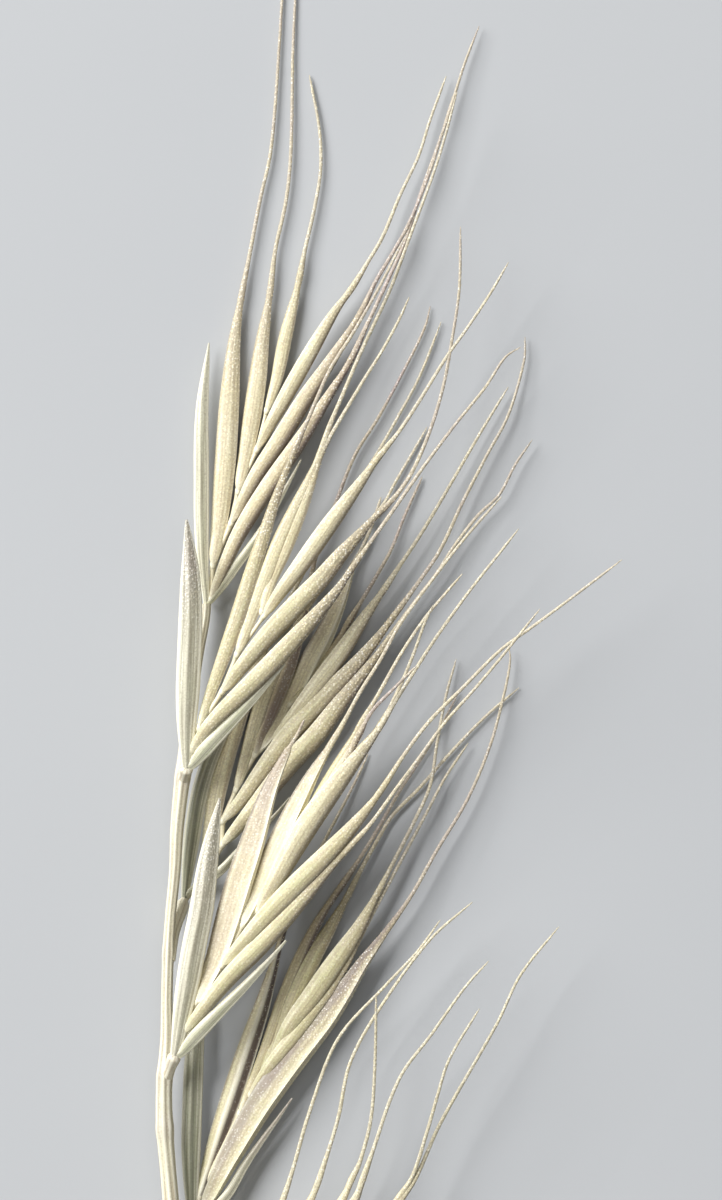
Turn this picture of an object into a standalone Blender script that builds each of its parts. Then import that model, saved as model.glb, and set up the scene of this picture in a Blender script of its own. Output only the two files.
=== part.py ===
"""Seed head of a dry annual fescue, cut and laid flat: a slender stem with six flattened
spikelets, each with two glumes and two ranks of awned florets on a zigzag rachilla.

The tables are in millimetres, X to the right, Y towards the tip and Z up from the surface
that the head lies on. Every other spikelet lies on that surface, under the stem's level,
and the rest lie over the stem, so the two layers pass each other clear.
"""

import bisect
import math
import random
from dataclasses import dataclass
from enum import Enum

import bmesh
import bpy
from mathutils import Matrix, Vector

MM = 0.001
HEAD_NAME = "Fescue seed head"
HEAD_MIDDLE = (0.0335, -0.004, 0.0)

LOW_LEVEL = 0.35
HIGH_LEVEL = 1.32
RANK_OFFSET = 0.17
RANK_RISE_LENGTH = 1.0

AWN_ROOT_RADIUS = 0.062
AWN_TIP_RADIUS = 0.036
AWN_STATIONS = 7
AWN_BEND = 1.3
TIP_SEED = 7
LOW_TIP_HEIGHTS = {"RIGHT": (0.12, 0.34), "LEFT": (0.05, 0.10)}
HIGH_TIP_LIFTS = (0.2, 1.1)

RACHILLA_RADIUS = 0.11
RACHILLA_TAPER = 0.35
PEDICEL_RADII = (0.13, 0.16)
PEDICEL_GAP = 0.13
STEM_LEVELS = (
    (-21.13, 0.22), (-18.88, 0.22), (-16.9, 0.66), (-13.4, 0.85), (1.0, 0.85), (3.1, 0.6),
    (4.89, 0.36),
)

# Half width, as a share of the widest, at each share of the length.
LEMMA_PROFILE = (
    (0.0, 0.44), (0.06, 0.56), (0.15, 0.73), (0.29, 0.92), (0.44, 1.0), (0.59, 0.95), (0.73, 0.78),
    (0.87, 0.52), (1.0, 0.25),
)
UPPER_GLUME_PROFILE = (
    (0.0, 0.38), (0.07, 0.56), (0.2, 0.84), (0.36, 1.0), (0.54, 1.0), (0.7, 0.9), (0.8, 0.74),
    (0.9, 0.46), (1.0, 0.1),
)
LOWER_GLUME_PROFILE = ((0.0, 0.5), (0.2, 1.0), (0.45, 0.85), (0.75, 0.5), (1.0, 0.16))

# Cross-sections for a half width of 1: a closed floret, and a glume with its keel up.
LEMMA_SECTION = ((-1.0, 0.0), (-0.5, -0.72), (0.5, -0.72), (1.0, 0.0), (0.5, 0.72), (-0.5, 0.72))
GLUME_SECTION = ((-1.0, 0.0), (-0.5, -0.4), (0.5, -0.4), (1.0, 0.0), (0.0, 0.75))
RACHILLA_SECTION = ((-1.0, 0.0), (0.0, -1.0), (1.0, 0.0), (0.0, 1.0))
STEM_SIDES = 8

WELD_DISTANCE = 1e-5
CUTTER_SIZE = 60.0
SHARP_ANGLE = 50.0
STEM_COLOR = (0.56, 0.50, 0.31)
SPIKELET_COLOR = (0.66, 0.60, 0.40)
SPIKELET_SHADES = (0.97, 0.99, 1.01)


class Side(Enum):
    """The layer that a spikelet lies in, with the height of its middle."""

    LOW = LOW_LEVEL
    HIGH = HIGH_LEVEL


class Rank(Enum):
    """The row that a floret stands in, with the sign of its offset from the middle."""

    RIGHT = 1
    LEFT = -1


@dataclass(frozen=True)
class Glume:
    """One of the two empty scales at a spikelet's foot."""

    width: float
    midline: tuple


@dataclass(frozen=True)
class Floret:
    """A closed floret: its rolled lemma and the awn that the lemma ends in."""

    rank: Rank
    width: float
    lemma: tuple
    awn: tuple


@dataclass(frozen=True)
class Spikelet:
    """One spikelet: its foot, its glumes and its florets from the lowest up."""

    number: int
    side: Side
    node: tuple
    upper_glume: Glume
    lower_glume: Glume
    florets: tuple


# The stem's axis with its width at each point.
STEM_ROUTE = (
    (-5.03, -21.13, 0.5), (-5.03, -18.88, 0.5), (-5.08, -16.13, 0.5), (-5.18, -13.38, 0.47),
    (-5.31, -11.13, 0.45), (-5.48, -9.13, 0.42), (-5.57, -8.01, 0.45), (-5.58, -7.01, 0.42),
    (-5.51, -5.88, 0.35), (-5.51, -4.88, 0.3), (-5.48, -3.76, 0.3), (-5.43, -2.88, 0.28),
    (-5.31, -1.63, 0.3), (-5.26, -0.63, 0.35), (-5.16, 0.37, 0.4), (-5.08, 0.99, 0.4),
    (-4.98, 1.99, 0.35), (-4.83, 3.12, 0.3), (-4.71, 3.87, 0.28), (-4.58, 4.49, 0.25),
    (-4.53, 4.89, 0.25)
)

# Points along each midline, from its root up.
SPIKELETS = (
    Spikelet(
        number=1,
        side=Side.LOW,
        node=(-4.53, 5.02),
        upper_glume=Glume(
            width=0.38,
            midline=((-4.53, 5.12), (-4.63, 6.37), (-4.65, 8.12), (-4.63, 9.87), (-4.46, 11.54)),
        ),
        lower_glume=Glume(
            width=0.25,
            midline=((-4.43, 5.07), (-3.81, 5.92), (-3.13, 6.87), (-2.56, 7.87), (-2.16, 8.62)),
        ),
        florets=(
            Floret(
                rank=Rank.RIGHT,
                width=0.45,
                lemma=(
                    (-4.43, 5.12), (-3.76, 6.69), (-3.08, 7.82), (-2.18, 9.12), (-1.41, 10.32),
                    (-0.93, 11.09)
                ),
                awn=(
                    (-0.51, 11.99), (0.02, 13.12), (0.44, 14.07), (0.82, 15.24), (1.49, 17.12),
                    (1.89, 18.41), (2.29, 19.46)
                ),
            ),
            Floret(
                rank=Rank.LEFT,
                width=0.55,
                lemma=(
                    (-4.36, 5.97), (-4.18, 7.12), (-4.03, 8.62), (-3.93, 10.12), (-3.81, 11.62),
                    (-3.66, 12.62)
                ),
                awn=((-3.43, 13.82), (-3.18, 15.12), (-2.91, 16.37), (-2.71, 18.87), (-2.58, 21.12)),
            ),
            Floret(
                rank=Rank.RIGHT,
                width=0.45,
                lemma=(
                    (-3.91, 7.02), (-3.33, 8.17), (-2.76, 9.04), (-2.06, 10.17), (-1.43, 11.09),
                    (-0.68, 12.27)
                ),
                awn=(
                    (-0.31, 13.04), (0.12, 13.77), (0.52, 14.49), (0.99, 15.62), (1.32, 16.62),
                    (1.67, 17.79)
                ),
            ),
            Floret(
                rank=Rank.LEFT,
                width=0.47,
                lemma=(
                    (-3.73, 7.82), (-3.56, 8.62), (-3.38, 9.62), (-3.23, 10.62), (-3.11, 11.62),
                    (-2.93, 12.82)
                ),
                awn=((-2.8, 13.87), (-2.53, 15.12), (-2.41, 16.37), (-2.36, 18.87), (-2.28, 20.62)),
            ),
            Floret(
                rank=Rank.RIGHT,
                width=0.4,
                lemma=(
                    (-3.26, 8.87), (-2.93, 9.52), (-2.38, 10.52), (-1.78, 11.57), (-1.31, 12.34),
                    (-0.88, 12.92)
                ),
                awn=(
                    (-0.48, 13.57), (-0.11, 14.21), (0.32, 15.24), (0.77, 16.19), (1.07, 17.12),
                    (1.47, 18.21)
                ),
            ),
            Floret(
                rank=Rank.LEFT,
                width=0.35,
                lemma=((-3.01, 9.84), (-2.76, 10.62), (-2.55, 11.62), (-2.31, 12.62), (-2.18, 13.24)),
                awn=((-2.06, 13.87), (-1.83, 14.87), (-1.67, 15.87), (-1.7, 16.87), (-1.95, 18.24)),
            ),
        ),
    ),
    Spikelet(
        number=2,
        side=Side.HIGH,
        node=(-5.01, 0.92),
        upper_glume=Glume(
            width=0.61,
            midline=(
                (-5.01, 1.02), (-5.01, 2.12), (-4.96, 3.37), (-4.91, 4.87), (-4.93, 6.12), (-5.01, 7.12)
            ),
        ),
        lower_glume=Glume(
            width=0.37,
            midline=(
                (-4.86, 1.02), (-4.55, 1.38), (-4.01, 1.96), (-3.34, 2.66), (-2.87, 3.18),
                (-2.56, 3.52)
            ),
        ),
        florets=(
            Floret(
                rank=Rank.RIGHT,
                width=0.5,
                lemma=(
                    (-4.94, 1.25), (-4.56, 1.85), (-4.22, 2.24), (-3.65, 2.8), (-3.04, 3.41),
                    (-1.98, 4.54), (-1.28, 5.34), (-0.91, 5.87)
                ),
                awn=(
                    (-0.38, 6.62), (0.19, 7.42), (0.94, 8.49), (1.69, 9.49), (2.44, 10.42),
                    (2.94, 11.17), (3.32, 11.42)
                ),
            ),
            Floret(
                rank=Rank.LEFT,
                width=0.4,
                lemma=(
                    (-4.71, 1.9), (-4.49, 2.56), (-4.1, 3.63), (-3.75, 4.62), (-3.41, 5.68),
                    (-3.11, 6.6), (-2.76, 7.69), (-2.33, 8.82)
                ),
                awn=((-1.93, 9.74), (-1.43, 10.87), (-0.88, 11.74), (-0.23, 12.87), (0.44, 14.17)),
            ),
            Floret(
                rank=Rank.RIGHT,
                width=0.53,
                lemma=(
                    (-4.13, 2.82), (-3.56, 3.57), (-2.93, 4.32), (-2.18, 5.12), (-1.68, 5.64),
                    (-1.18, 6.24), (-0.68, 6.79), (-0.28, 7.22)
                ),
                awn=(
                    (0.19, 7.69), (0.62, 8.32), (1.07, 9.37), (1.39, 10.44), (1.59, 11.49),
                    (1.79, 12.87), (1.82, 14.42)
                ),
            ),
            Floret(
                rank=Rank.LEFT,
                width=0.42,
                lemma=(
                    (-3.76, 3.74), (-3.53, 4.32), (-3.31, 4.92), (-2.81, 6.24), (-2.51, 6.92),
                    (-2.18, 7.62), (-1.88, 8.27), (-1.66, 8.82)
                ),
                awn=(
                    (-1.43, 9.49), (-1.06, 10.37), (-0.63, 11.37), (0.07, 12.87), (0.54, 14.12),
                    (1.27, 16.12), (1.74, 17.79)
                ),
            ),
            Floret(
                rank=Rank.RIGHT,
                width=0.46,
                lemma=(
                    (-3.08, 4.72), (-2.68, 5.32), (-2.18, 5.99), (-1.43, 7.04), (-0.76, 7.94),
                    (-0.23, 8.67)
                ),
                awn=(
                    (0.27, 9.29), (0.77, 10.04), (1.47, 11.17), (1.97, 11.87), (2.57, 12.77),
                    (3.02, 13.54)
                ),
            ),
            Floret(
                rank=Rank.LEFT,
                width=0.38,
                lemma=(
                    (-3.13, 4.82), (-2.88, 5.62), (-2.61, 6.24), (-2.33, 6.92), (-2.08, 7.54),
                    (-1.83, 8.24), (-1.63, 8.82)
                ),
                awn=(
                    (-1.46, 9.14), (-1.03, 9.87), (-0.61, 10.57), (-0.11, 11.37), (0.32, 12.17),
                    (0.54, 12.67)
                ),
            ),
        ),
    ),
    Spikelet(
        number=3,
        side=Side.LOW,
        node=(-5.08, -2.38),
        upper_glume=Glume(
            width=0.42,
            midline=(
                (-5.06, -2.28), (-4.93, -1.13), (-4.78, -0.13), (-4.61, 0.62), (-4.36, 1.29),
                (-4.03, 1.92), (-3.68, 2.49)
            ),
        ),
        lower_glume=Glume(
            width=0.23,
            midline=(
                (-4.98, -2.21), (-4.21, -1.68), (-3.68, -1.13), (-3.13, -0.58), (-2.81, -0.26),
                (-2.43, 0.19)
            ),
        ),
        florets=(
            Floret(
                rank=Rank.LEFT,
                width=0.5,
                lemma=(
                    (-4.63, -1.88), (-4.46, -1.01), (-4.26, 0.24), (-4.06, 1.07), (-3.86, 1.74),
                    (-3.56, 2.62), (-3.23, 3.49), (-2.88, 4.32)
                ),
                awn=(
                    (-2.43, 5.17), (-1.81, 6.32), (-1.06, 7.54), (-0.28, 8.74), (0.29, 9.74),
                    (0.79, 10.67), (1.22, 11.74), (1.34, 12.07)
                ),
            ),
            Floret(
                rank=Rank.RIGHT,
                width=0.53,
                lemma=(
                    (-4.13, -1.01), (-3.56, -0.33), (-3.06, 0.29), (-2.43, 1.07), (-1.81, 1.74),
                    (-1.18, 2.57), (-0.61, 3.29), (-0.11, 3.94)
                ),
                awn=(
                    (0.32, 4.57), (0.82, 5.24), (1.24, 5.79), (1.69, 6.49), (2.27, 7.24), (2.79, 7.74),
                    (3.19, 8.49), (3.62, 9.12)
                ),
            ),
            Floret(
                rank=Rank.RIGHT,
                width=0.5,
                lemma=(
                    (-4.13, -0.43), (-3.63, 0.17), (-3.23, 0.74), (-2.81, 1.32), (-2.38, 1.87),
                    (-1.43, 2.87), (-0.88, 3.44), (-0.36, 4.04), (0.14, 4.69)
                ),
                awn=(
                    (0.82, 5.62), (1.32, 6.37), (1.87, 7.54), (2.49, 8.74), (3.02, 9.74), (3.42, 11.12),
                    (3.44, 11.69)
                ),
            ),
            Floret(
                rank=Rank.LEFT,
                width=0.42,
                lemma=(
                    (-3.78, 0.37), (-3.58, 0.99), (-3.38, 1.67), (-3.13, 2.49), (-2.83, 3.24),
                    (-2.43, 4.12), (-2.03, 4.87)
                ),
                awn=(
                    (-1.43, 5.74), (-0.81, 6.62), (-0.08, 7.54), (0.19, 8.04), (0.74, 8.99), (0.99, 9.44)
                ),
            ),
            Floret(
                rank=Rank.LEFT,
                width=0.38,
                lemma=(
                    (-3.31, 1.24), (-3.08, 1.87), (-2.83, 2.49), (-2.58, 3.12), (-2.38, 3.67),
                    (-2.18, 4.32), (-1.98, 5.12)
                ),
                awn=(
                    (-1.81, 6.12), (-1.31, 7.49), (-0.81, 8.74), (-0.23, 9.67), (0.42, 10.87),
                    (0.94, 11.94), (1.07, 12.46)
                ),
            ),
            Floret(
                rank=Rank.LEFT,
                width=0.55,
                lemma=(
                    (-3.18, 1.37), (-2.73, 1.99), (-2.28, 2.79), (-1.88, 3.62), (-1.51, 4.32),
                    (-1.13, 5.19), (-0.86, 5.97)
                ),
                awn=((-0.63, 6.42), (-0.38, 6.99), (-0.16, 7.69)),
            ),
            Floret(
                rank=Rank.RIGHT,
                width=0.45,
                lemma=(
                    (-2.88, 1.57), (-2.48, 2.07), (-2.06, 2.62), (-1.63, 3.19), (-1.13, 3.87),
                    (-0.61, 4.64), (-0.06, 5.42)
                ),
                awn=((0.32, 5.99), (0.82, 6.74), (1.39, 7.69), (1.97, 8.69), (2.44, 9.49), (3.02, 10.44)),
            ),
            Floret(
                rank=Rank.LEFT,
                width=0.3,
                lemma=((-2.43, 2.49), (-2.06, 2.87), (-1.68, 3.42), (-1.31, 3.92), (-0.93, 4.62)),
                awn=((-0.63, 5.12), (-0.26, 5.74), (0.09, 6.37), (0.44, 7.24), (0.87, 8.19)),
            ),
        ),
    ),
    Spikelet(
        number=4,
        side=Side.HIGH,
        node=(-5.31, -6.26),
        upper_glume=Glume(
            width=0.61,
            midline=(
                (-5.25, -5.95), (-5.11, -5.13), (-4.96, -4.3), (-4.81, -3.45), (-4.64, -2.6),
                (-4.5, -1.6), (-4.36, -0.76), (-4.18, 0.17)
            ),
        ),
        lower_glume=Glume(
            width=0.35,
            midline=(
                (-5.16, -6.2), (-4.8, -5.79), (-4.19, -5.15), (-3.69, -4.65), (-3.23, -4.17),
                (-2.86, -3.77), (-2.53, -3.38)
            ),
        ),
        florets=(
            Floret(
                rank=Rank.RIGHT,
                width=0.49,
                lemma=(
                    (-5.08, -5.69), (-4.38, -4.78), (-3.88, -4.19), (-3.24, -3.54), (-2.35, -2.58),
                    (-1.58, -1.71), (-1.01, -1.11)
                ),
                awn=(
                    (-0.43, -0.48), (0.19, 0.37), (0.82, 1.22), (1.44, 2.07), (2.19, 2.92), (2.94, 3.82),
                    (3.79, 4.89)
                ),
            ),
            Floret(
                rank=Rank.LEFT,
                width=0.7,
                lemma=(
                    (-4.76, -4.93), (-4.48, -4.33), (-4.23, -3.76), (-3.96, -2.88), (-3.66, -1.88),
                    (-3.33, -0.88), (-2.93, 0.37), (-2.48, 1.37)
                ),
                awn=((-2.26, 1.74), (-2.08, 2.12)),
            ),
            Floret(
                rank=Rank.RIGHT,
                width=0.55,
                lemma=(
                    (-4.13, -4.01), (-3.68, -3.51), (-3.13, -2.88), (-2.43, -2.13), (-1.68, -1.38),
                    (-0.88, -0.53), (-0.23, 0.27)
                ),
                awn=(
                    (0.44, 1.29), (1.07, 2.12), (1.87, 2.92), (2.82, 3.87), (3.57, 4.42), (4.52, 5.12),
                    (5.84, 6.12)
                ),
            ),
            Floret(
                rank=Rank.LEFT,
                width=0.55,
                lemma=(
                    (-3.61, -3.01), (-3.28, -2.26), (-2.88, -1.33), (-2.43, -0.38), (-1.93, 0.62),
                    (-1.43, 1.49)
                ),
                awn=(
                    (-1.16, 1.94), (-0.68, 2.82), (-0.18, 3.62), (0.32, 4.52), (1.12, 5.62),
                    (1.94, 6.67), (2.84, 7.69)
                ),
            ),
            Floret(
                rank=Rank.RIGHT,
                width=0.6,
                lemma=(
                    (-3.23, -2.63), (-2.81, -1.88), (-2.26, -0.88), (-1.63, 0.07), (-0.93, 0.99),
                    (-0.23, 1.89)
                ),
                awn=((0.17, 2.54), (0.69, 3.37), (1.22, 4.19), (2.07, 5.37), (2.82, 6.32), (3.27, 6.89)),
            ),
            Floret(
                rank=Rank.LEFT,
                width=0.35,
                lemma=((-2.23, -0.76), (-1.88, -0.13), (-1.38, 0.69), (-0.93, 1.49), (-0.63, 2.07)),
                awn=((-0.21, 2.79), (0.32, 3.74), (0.94, 4.67), (1.44, 5.27), (1.87, 5.77)),
            ),
            Floret(
                rank=Rank.RIGHT,
                width=0.3,
                lemma=((-2.06, -0.43), (-1.43, 0.49), (-0.98, 1.24), (-0.68, 1.82)),
                awn=((-0.36, 2.37), (0.12, 2.87), (0.72, 3.47)),
            ),
            Floret(
                rank=Rank.LEFT,
                width=0.3,
                lemma=((-1.73, 0.12), (-1.06, 0.87), (-0.48, 1.57), (-0.13, 2.07)),
                awn=((0.27, 2.87), (0.62, 3.69), (0.94, 4.57), (1.14, 4.99)),
            ),
        ),
    ),
    Spikelet(
        number=5,
        side=Side.LOW,
        node=(-4.86, -10.51),
        upper_glume=Glume(
            width=0.5,
            midline=(
                (-4.88, -10.26), (-4.91, -8.88), (-4.88, -7.63), (-4.83, -6.38), (-4.73, -5.13),
                (-4.61, -4.01)
            ),
        ),
        lower_glume=Glume(
            width=0.25,
            midline=(
                (-4.66, -10.43), (-4.01, -9.76), (-3.56, -9.01), (-3.13, -8.38), (-2.73, -7.83),
                (-2.38, -7.33)
            ),
        ),
        florets=(
            Floret(
                rank=Rank.LEFT,
                width=0.54,
                lemma=(
                    (-4.72, -9.85), (-4.49, -9.15), (-4.2, -8.26), (-3.96, -7.55), (-3.73, -6.86),
                    (-3.43, -5.95), (-3.15, -5.13), (-2.89, -4.25), (-2.66, -3.38)
                ),
                awn=(
                    (-2.38, -2.58), (-1.88, -1.51), (-1.43, -0.63), (-1.06, 0.07), (-0.76, 0.67),
                    (-0.48, 1.27)
                ),
            ),
            Floret(
                rank=Rank.RIGHT,
                width=0.72,
                lemma=(
                    (-4.62, -10.1), (-4.44, -9.76), (-4.01, -8.89), (-3.31, -7.65), (-2.8, -6.9),
                    (-2.21, -6.12), (-1.6, -5.38), (-1.17, -4.78), (-0.63, -3.96), (-0.11, -3.26)
                ),
                awn=(
                    (0.57, -2.31), (1.24, -1.13), (1.99, 0.12), (2.57, 1.49), (2.94, 2.87), (3.07, 3.62),
                    (3.04, 3.92)
                ),
            ),
            Floret(
                rank=Rank.LEFT,
                width=0.38,
                lemma=(
                    (-3.7, -7.74), (-3.42, -7.1), (-3.01, -6.12), (-2.55, -4.81), (-2.13, -3.76),
                    (-1.67, -2.83), (-1.11, -1.98)
                ),
                awn=(
                    (-0.68, -1.33), (-0.18, -0.51), (0.32, 0.37), (0.82, 1.12), (1.32, 1.92),
                    (1.77, 2.79)
                ),
            ),
            Floret(
                rank=Rank.RIGHT,
                width=0.4,
                lemma=(
                    (-3.43, -7.26), (-2.93, -6.51), (-2.38, -5.83), (-1.88, -5.18), (-1.43, -4.63),
                    (-1.06, -4.06)
                ),
                awn=(
                    (-0.68, -3.33), (-0.26, -2.51), (0.32, -1.43), (0.99, -0.18), (1.44, 0.67),
                    (2.02, 1.54)
                ),
            ),
            Floret(
                rank=Rank.LEFT,
                width=0.5,
                lemma=(
                    (-3.13, -6.83), (-2.73, -5.88), (-2.23, -4.63), (-1.81, -3.76), (-1.38, -3.01),
                    (-0.98, -2.26)
                ),
                awn=(
                    (-0.66, -1.63), (-0.18, -0.76), (0.12, -0.28), (0.82, 0.44), (1.57, 1.29),
                    (2.44, 2.19), (3.29, 2.92)
                ),
            ),
            Floret(
                rank=Rank.RIGHT,
                width=0.55,
                lemma=(
                    (-2.88, -6.38), (-2.43, -5.51), (-1.88, -4.76), (-1.31, -3.93), (-0.76, -3.13),
                    (-0.26, -2.23)
                ),
                awn=(
                    (0.24, -1.26), (0.69, -0.38), (1.07, 0.49), (1.24, 1.54), (1.47, 2.74), (1.72, 3.64)
                ),
            ),
        ),
    ),
    Spikelet(
        number=6,
        side=Side.HIGH,
        node=(-4.93, -16.38),
        upper_glume=Glume(
            width=0.6,
            midline=((-4.93, -16.18), (-5.03, -14.88), (-5.06, -13.38), (-4.98, -11.88), (-4.86, -10.26)),
        ),
        lower_glume=Glume(
            width=0.3,
            midline=((-4.78, -16.29), (-4.06, -15.51), (-3.31, -14.71), (-2.63, -13.93), (-2.06, -13.26)),
        ),
        florets=(
            Floret(
                rank=Rank.RIGHT,
                width=0.55,
                lemma=(
                    (-4.63, -15.68), (-3.73, -14.58), (-2.56, -13.21), (-1.31, -11.76), (-0.18, -10.58),
                    (0.32, -9.86)
                ),
                awn=((0.72, -9.26), (1.32, -7.93), (2.74, -5.43), (3.32, -4.23), (4.27, -3.03)),
            ),
            Floret(
                rank=Rank.LEFT,
                width=0.55,
                lemma=(
                    (-4.53, -15.38), (-4.33, -14.38), (-3.93, -13.08), (-3.48, -11.76), (-2.93, -10.58),
                    (-2.68, -10.05)
                ),
                awn=(
                    (-2.38, -9.16), (-1.93, -7.61), (-1.23, -5.83), (-0.03, -4.48), (0.74, -3.66),
                    (1.32, -2.86)
                ),
            ),
            Floret(
                rank=Rank.RIGHT,
                width=0.53,
                lemma=(
                    (-3.88, -14.38), (-3.13, -13.33), (-2.18, -12.26), (-1.06, -11.21), (-0.11, -10.33),
                    (0.24, -9.84)
                ),
                awn=((0.62, -9.26), (0.99, -8.13), (1.24, -7.26), (1.54, -6.33), (2.29, -5.06)),
            ),
            Floret(
                rank=Rank.LEFT,
                width=0.53,
                lemma=(
                    (-4.08, -14.58), (-3.68, -13.51), (-3.13, -12.33), (-2.48, -11.01), (-2.06, -10.18),
                    (-1.78, -9.55)
                ),
                awn=(
                    (-1.56, -8.9), (-1.23, -7.81), (-0.93, -6.43), (-0.23, -5.13), (1.04, -3.38),
                    (2.12, -2.41)
                ),
            ),
            Floret(
                rank=Rank.RIGHT,
                width=0.45,
                lemma=(
                    (-3.13, -13.26), (-2.56, -12.33), (-1.88, -11.33), (-1.23, -10.43), (-0.81, -9.83),
                    (-0.62, -9.34)
                ),
                awn=((-0.43, -8.81), (0.29, -6.83), (1.12, -5.68), (1.94, -4.53), (2.52, -3.88)),
            ),
            Floret(
                rank=Rank.LEFT,
                width=0.45,
                lemma=(
                    (-3.38, -13.43), (-2.88, -12.38), (-2.18, -11.38), (-1.56, -10.51), (-1.11, -9.83),
                    (-0.9, -9.36)
                ),
                awn=((-0.68, -8.88), (-0.41, -7.81), (-0.31, -6.38), (-0.28, -4.73)),
            ),
        ),
    ),
)


# Each stalk runs from inside the stem towards its spikelet's foot.
PEDICELS = (
    ((-5.11, 0.62), (-5.03, 0.79)),
    ((-5.41, -3.88), (-5.31, -3.13), (-5.13, -2.58)),
    ((-5.53, -6.83), (-5.36, -6.43)),
    ((-5.28, -11.43), (-5.08, -11.01), (-4.88, -10.63)),
    ((-5.08, -16.93), (-4.98, -16.59)),
)


def ease(u):
    """Smooth step from 0 to 1."""
    u = min(max(u, 0.0), 1.0)
    return u * u * (3.0 - 2.0 * u)


def between(table, u):
    """Value at u in a table of (place, value) rows, along straight lines."""
    places = [row[0] for row in table]
    i = min(max(bisect.bisect_right(places, u) - 1, 0), len(table) - 2)
    share = (u - places[i]) / (places[i + 1] - places[i])
    share = min(max(share, 0.0), 1.0)
    return table[i][1] + share * (table[i + 1][1] - table[i][1])


class Route:
    """A smooth curve through hand-picked points, measured along its chords."""

    def __init__(self, points):
        self.points = [Vector(p) for p in points]
        self.knots = [0.0]
        for a, b in zip(self.points, self.points[1:]):
            self.knots.append(self.knots[-1] + (b - a).length)
        self.slopes = [self._slope(i) for i in range(len(self.points))]

    def _slope(self, i):
        first = max(i - 1, 0)
        last = min(i + 1, len(self.points) - 1)
        return (self.points[last] - self.points[first]) / (self.knots[last] - self.knots[first])

    @property
    def length(self):
        return self.knots[-1]

    def at(self, s):
        """Point at distance s from the start."""
        i = min(max(bisect.bisect_right(self.knots, s) - 1, 0), len(self.points) - 2)
        span = self.knots[i + 1] - self.knots[i]
        u = (s - self.knots[i]) / span
        return (
            (2 * u**3 - 3 * u**2 + 1) * self.points[i]
            + (u**3 - 2 * u**2 + u) * span * self.slopes[i]
            + (3 * u**2 - 2 * u**3) * self.points[i + 1]
            + (u**3 - u**2) * span * self.slopes[i + 1]
        )


def make_material(name, color, roughness):
    """Plain dry surface of one colour."""
    material = bpy.data.materials.new(name)
    material.use_nodes = True
    shader = material.node_tree.nodes["Principled BSDF"]
    shader.inputs["Base Color"].default_value = (*color, 1.0)
    shader.inputs["Roughness"].default_value = roughness
    shader.inputs["Metallic"].default_value = 0.0
    return material


def make_section(name, corners, cutters):
    """Closed outline that gives a swept curve its cross-section."""
    curve = bpy.data.curves.new(name, "CURVE")
    curve.dimensions = "2D"
    spline = curve.splines.new("POLY")
    spline.points.add(len(corners) - 1)
    for point, (x, y) in zip(spline.points, corners):
        point.co = (x, y, 0.0, 1.0)
    spline.use_cyclic_u = True
    section = bpy.data.objects.new(name, curve)
    section.hide_render = True
    section.display_type = "WIRE"
    cutters.objects.link(section)
    return section


def sweep(name, points, radii, section, parts):
    """Closed mesh of a section carried along a line of points."""
    curve = bpy.data.curves.new(name, "CURVE")
    curve.dimensions = "3D"
    curve.twist_mode = "Z_UP"
    curve.use_fill_caps = True
    if section is None:
        curve.bevel_depth = 1.0
        curve.bevel_resolution = STEM_SIDES // 2 - 2
    else:
        curve.bevel_mode = "OBJECT"
        curve.bevel_object = section
    spline = curve.splines.new("POLY")
    spline.points.add(len(points) - 1)
    for point, place, radius in zip(spline.points, points, radii):
        point.co = (*place, 1.0)
        point.radius = radius
    return to_mesh(bpy.data.objects.new(name, curve), parts)


def to_mesh(source, parts):
    """Mesh object in the place of a curve object, its caps welded on."""
    parts.objects.link(source)
    graph = bpy.context.evaluated_depsgraph_get()
    mesh = bpy.data.meshes.new_from_object(source.evaluated_get(graph))
    shape = bmesh.new()
    shape.from_mesh(mesh)
    bmesh.ops.remove_doubles(shape, verts=shape.verts, dist=WELD_DISTANCE)
    bmesh.ops.recalc_face_normals(shape, faces=shape.faces)
    shape.to_mesh(mesh)
    shape.free()
    solid = bpy.data.objects.new(f"{source.name} mesh", mesh)
    solid.matrix_world = source.matrix_world
    name = source.name
    curve = source.data
    bpy.data.objects.remove(source)
    bpy.data.curves.remove(curve)
    solid.name = name
    parts.objects.link(solid)
    return solid


def boolean(target, operation, collection=None, cutter=None):
    """Applies one Boolean on the target by its evaluated mesh."""
    modifier = target.modifiers.new("Join", "BOOLEAN")
    modifier.operation = operation
    modifier.solver = "MANIFOLD"
    if collection is None:
        modifier.operand_type = "OBJECT"
        modifier.object = cutter
    else:
        modifier.operand_type = "COLLECTION"
        modifier.collection = collection
    graph = bpy.context.evaluated_depsgraph_get()
    mesh = bpy.data.meshes.new_from_object(target.evaluated_get(graph))
    old = target.data
    target.modifiers.clear()
    target.data = mesh
    bpy.data.meshes.remove(old)


def remove_all(objects):
    """Removes mesh objects and their meshes."""
    for item in list(objects):
        mesh = item.data
        bpy.data.objects.remove(item)
        bpy.data.meshes.remove(mesh)


def cut_at_surface(target, cutters):
    """Cuts away what is below the surface, which leaves small flat spots there."""
    bpy.ops.mesh.primitive_cube_add(size=CUTTER_SIZE, location=(0.0, 0.0, -CUTTER_SIZE / 2))
    block = bpy.context.object
    block.name = f"Below {target.name}"
    block.hide_render = True
    block.display_type = "WIRE"
    for home in list(block.users_collection):
        home.objects.unlink(block)
    cutters.objects.link(block)
    boolean(target, "DIFFERENCE", cutter=block)
    remove_all([block])


def finish(target, material):
    """Centres a node on the head's middle, in metres, and dresses it."""
    target.data.transform(Matrix.Scale(MM, 4) @ Matrix.Translation(-Vector(HEAD_MIDDLE)))
    target.data.materials.clear()
    target.data.materials.append(material)
    target.data.shade_smooth()
    target.data.set_sharp_from_angle(angle=math.radians(SHARP_ANGLE))


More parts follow.
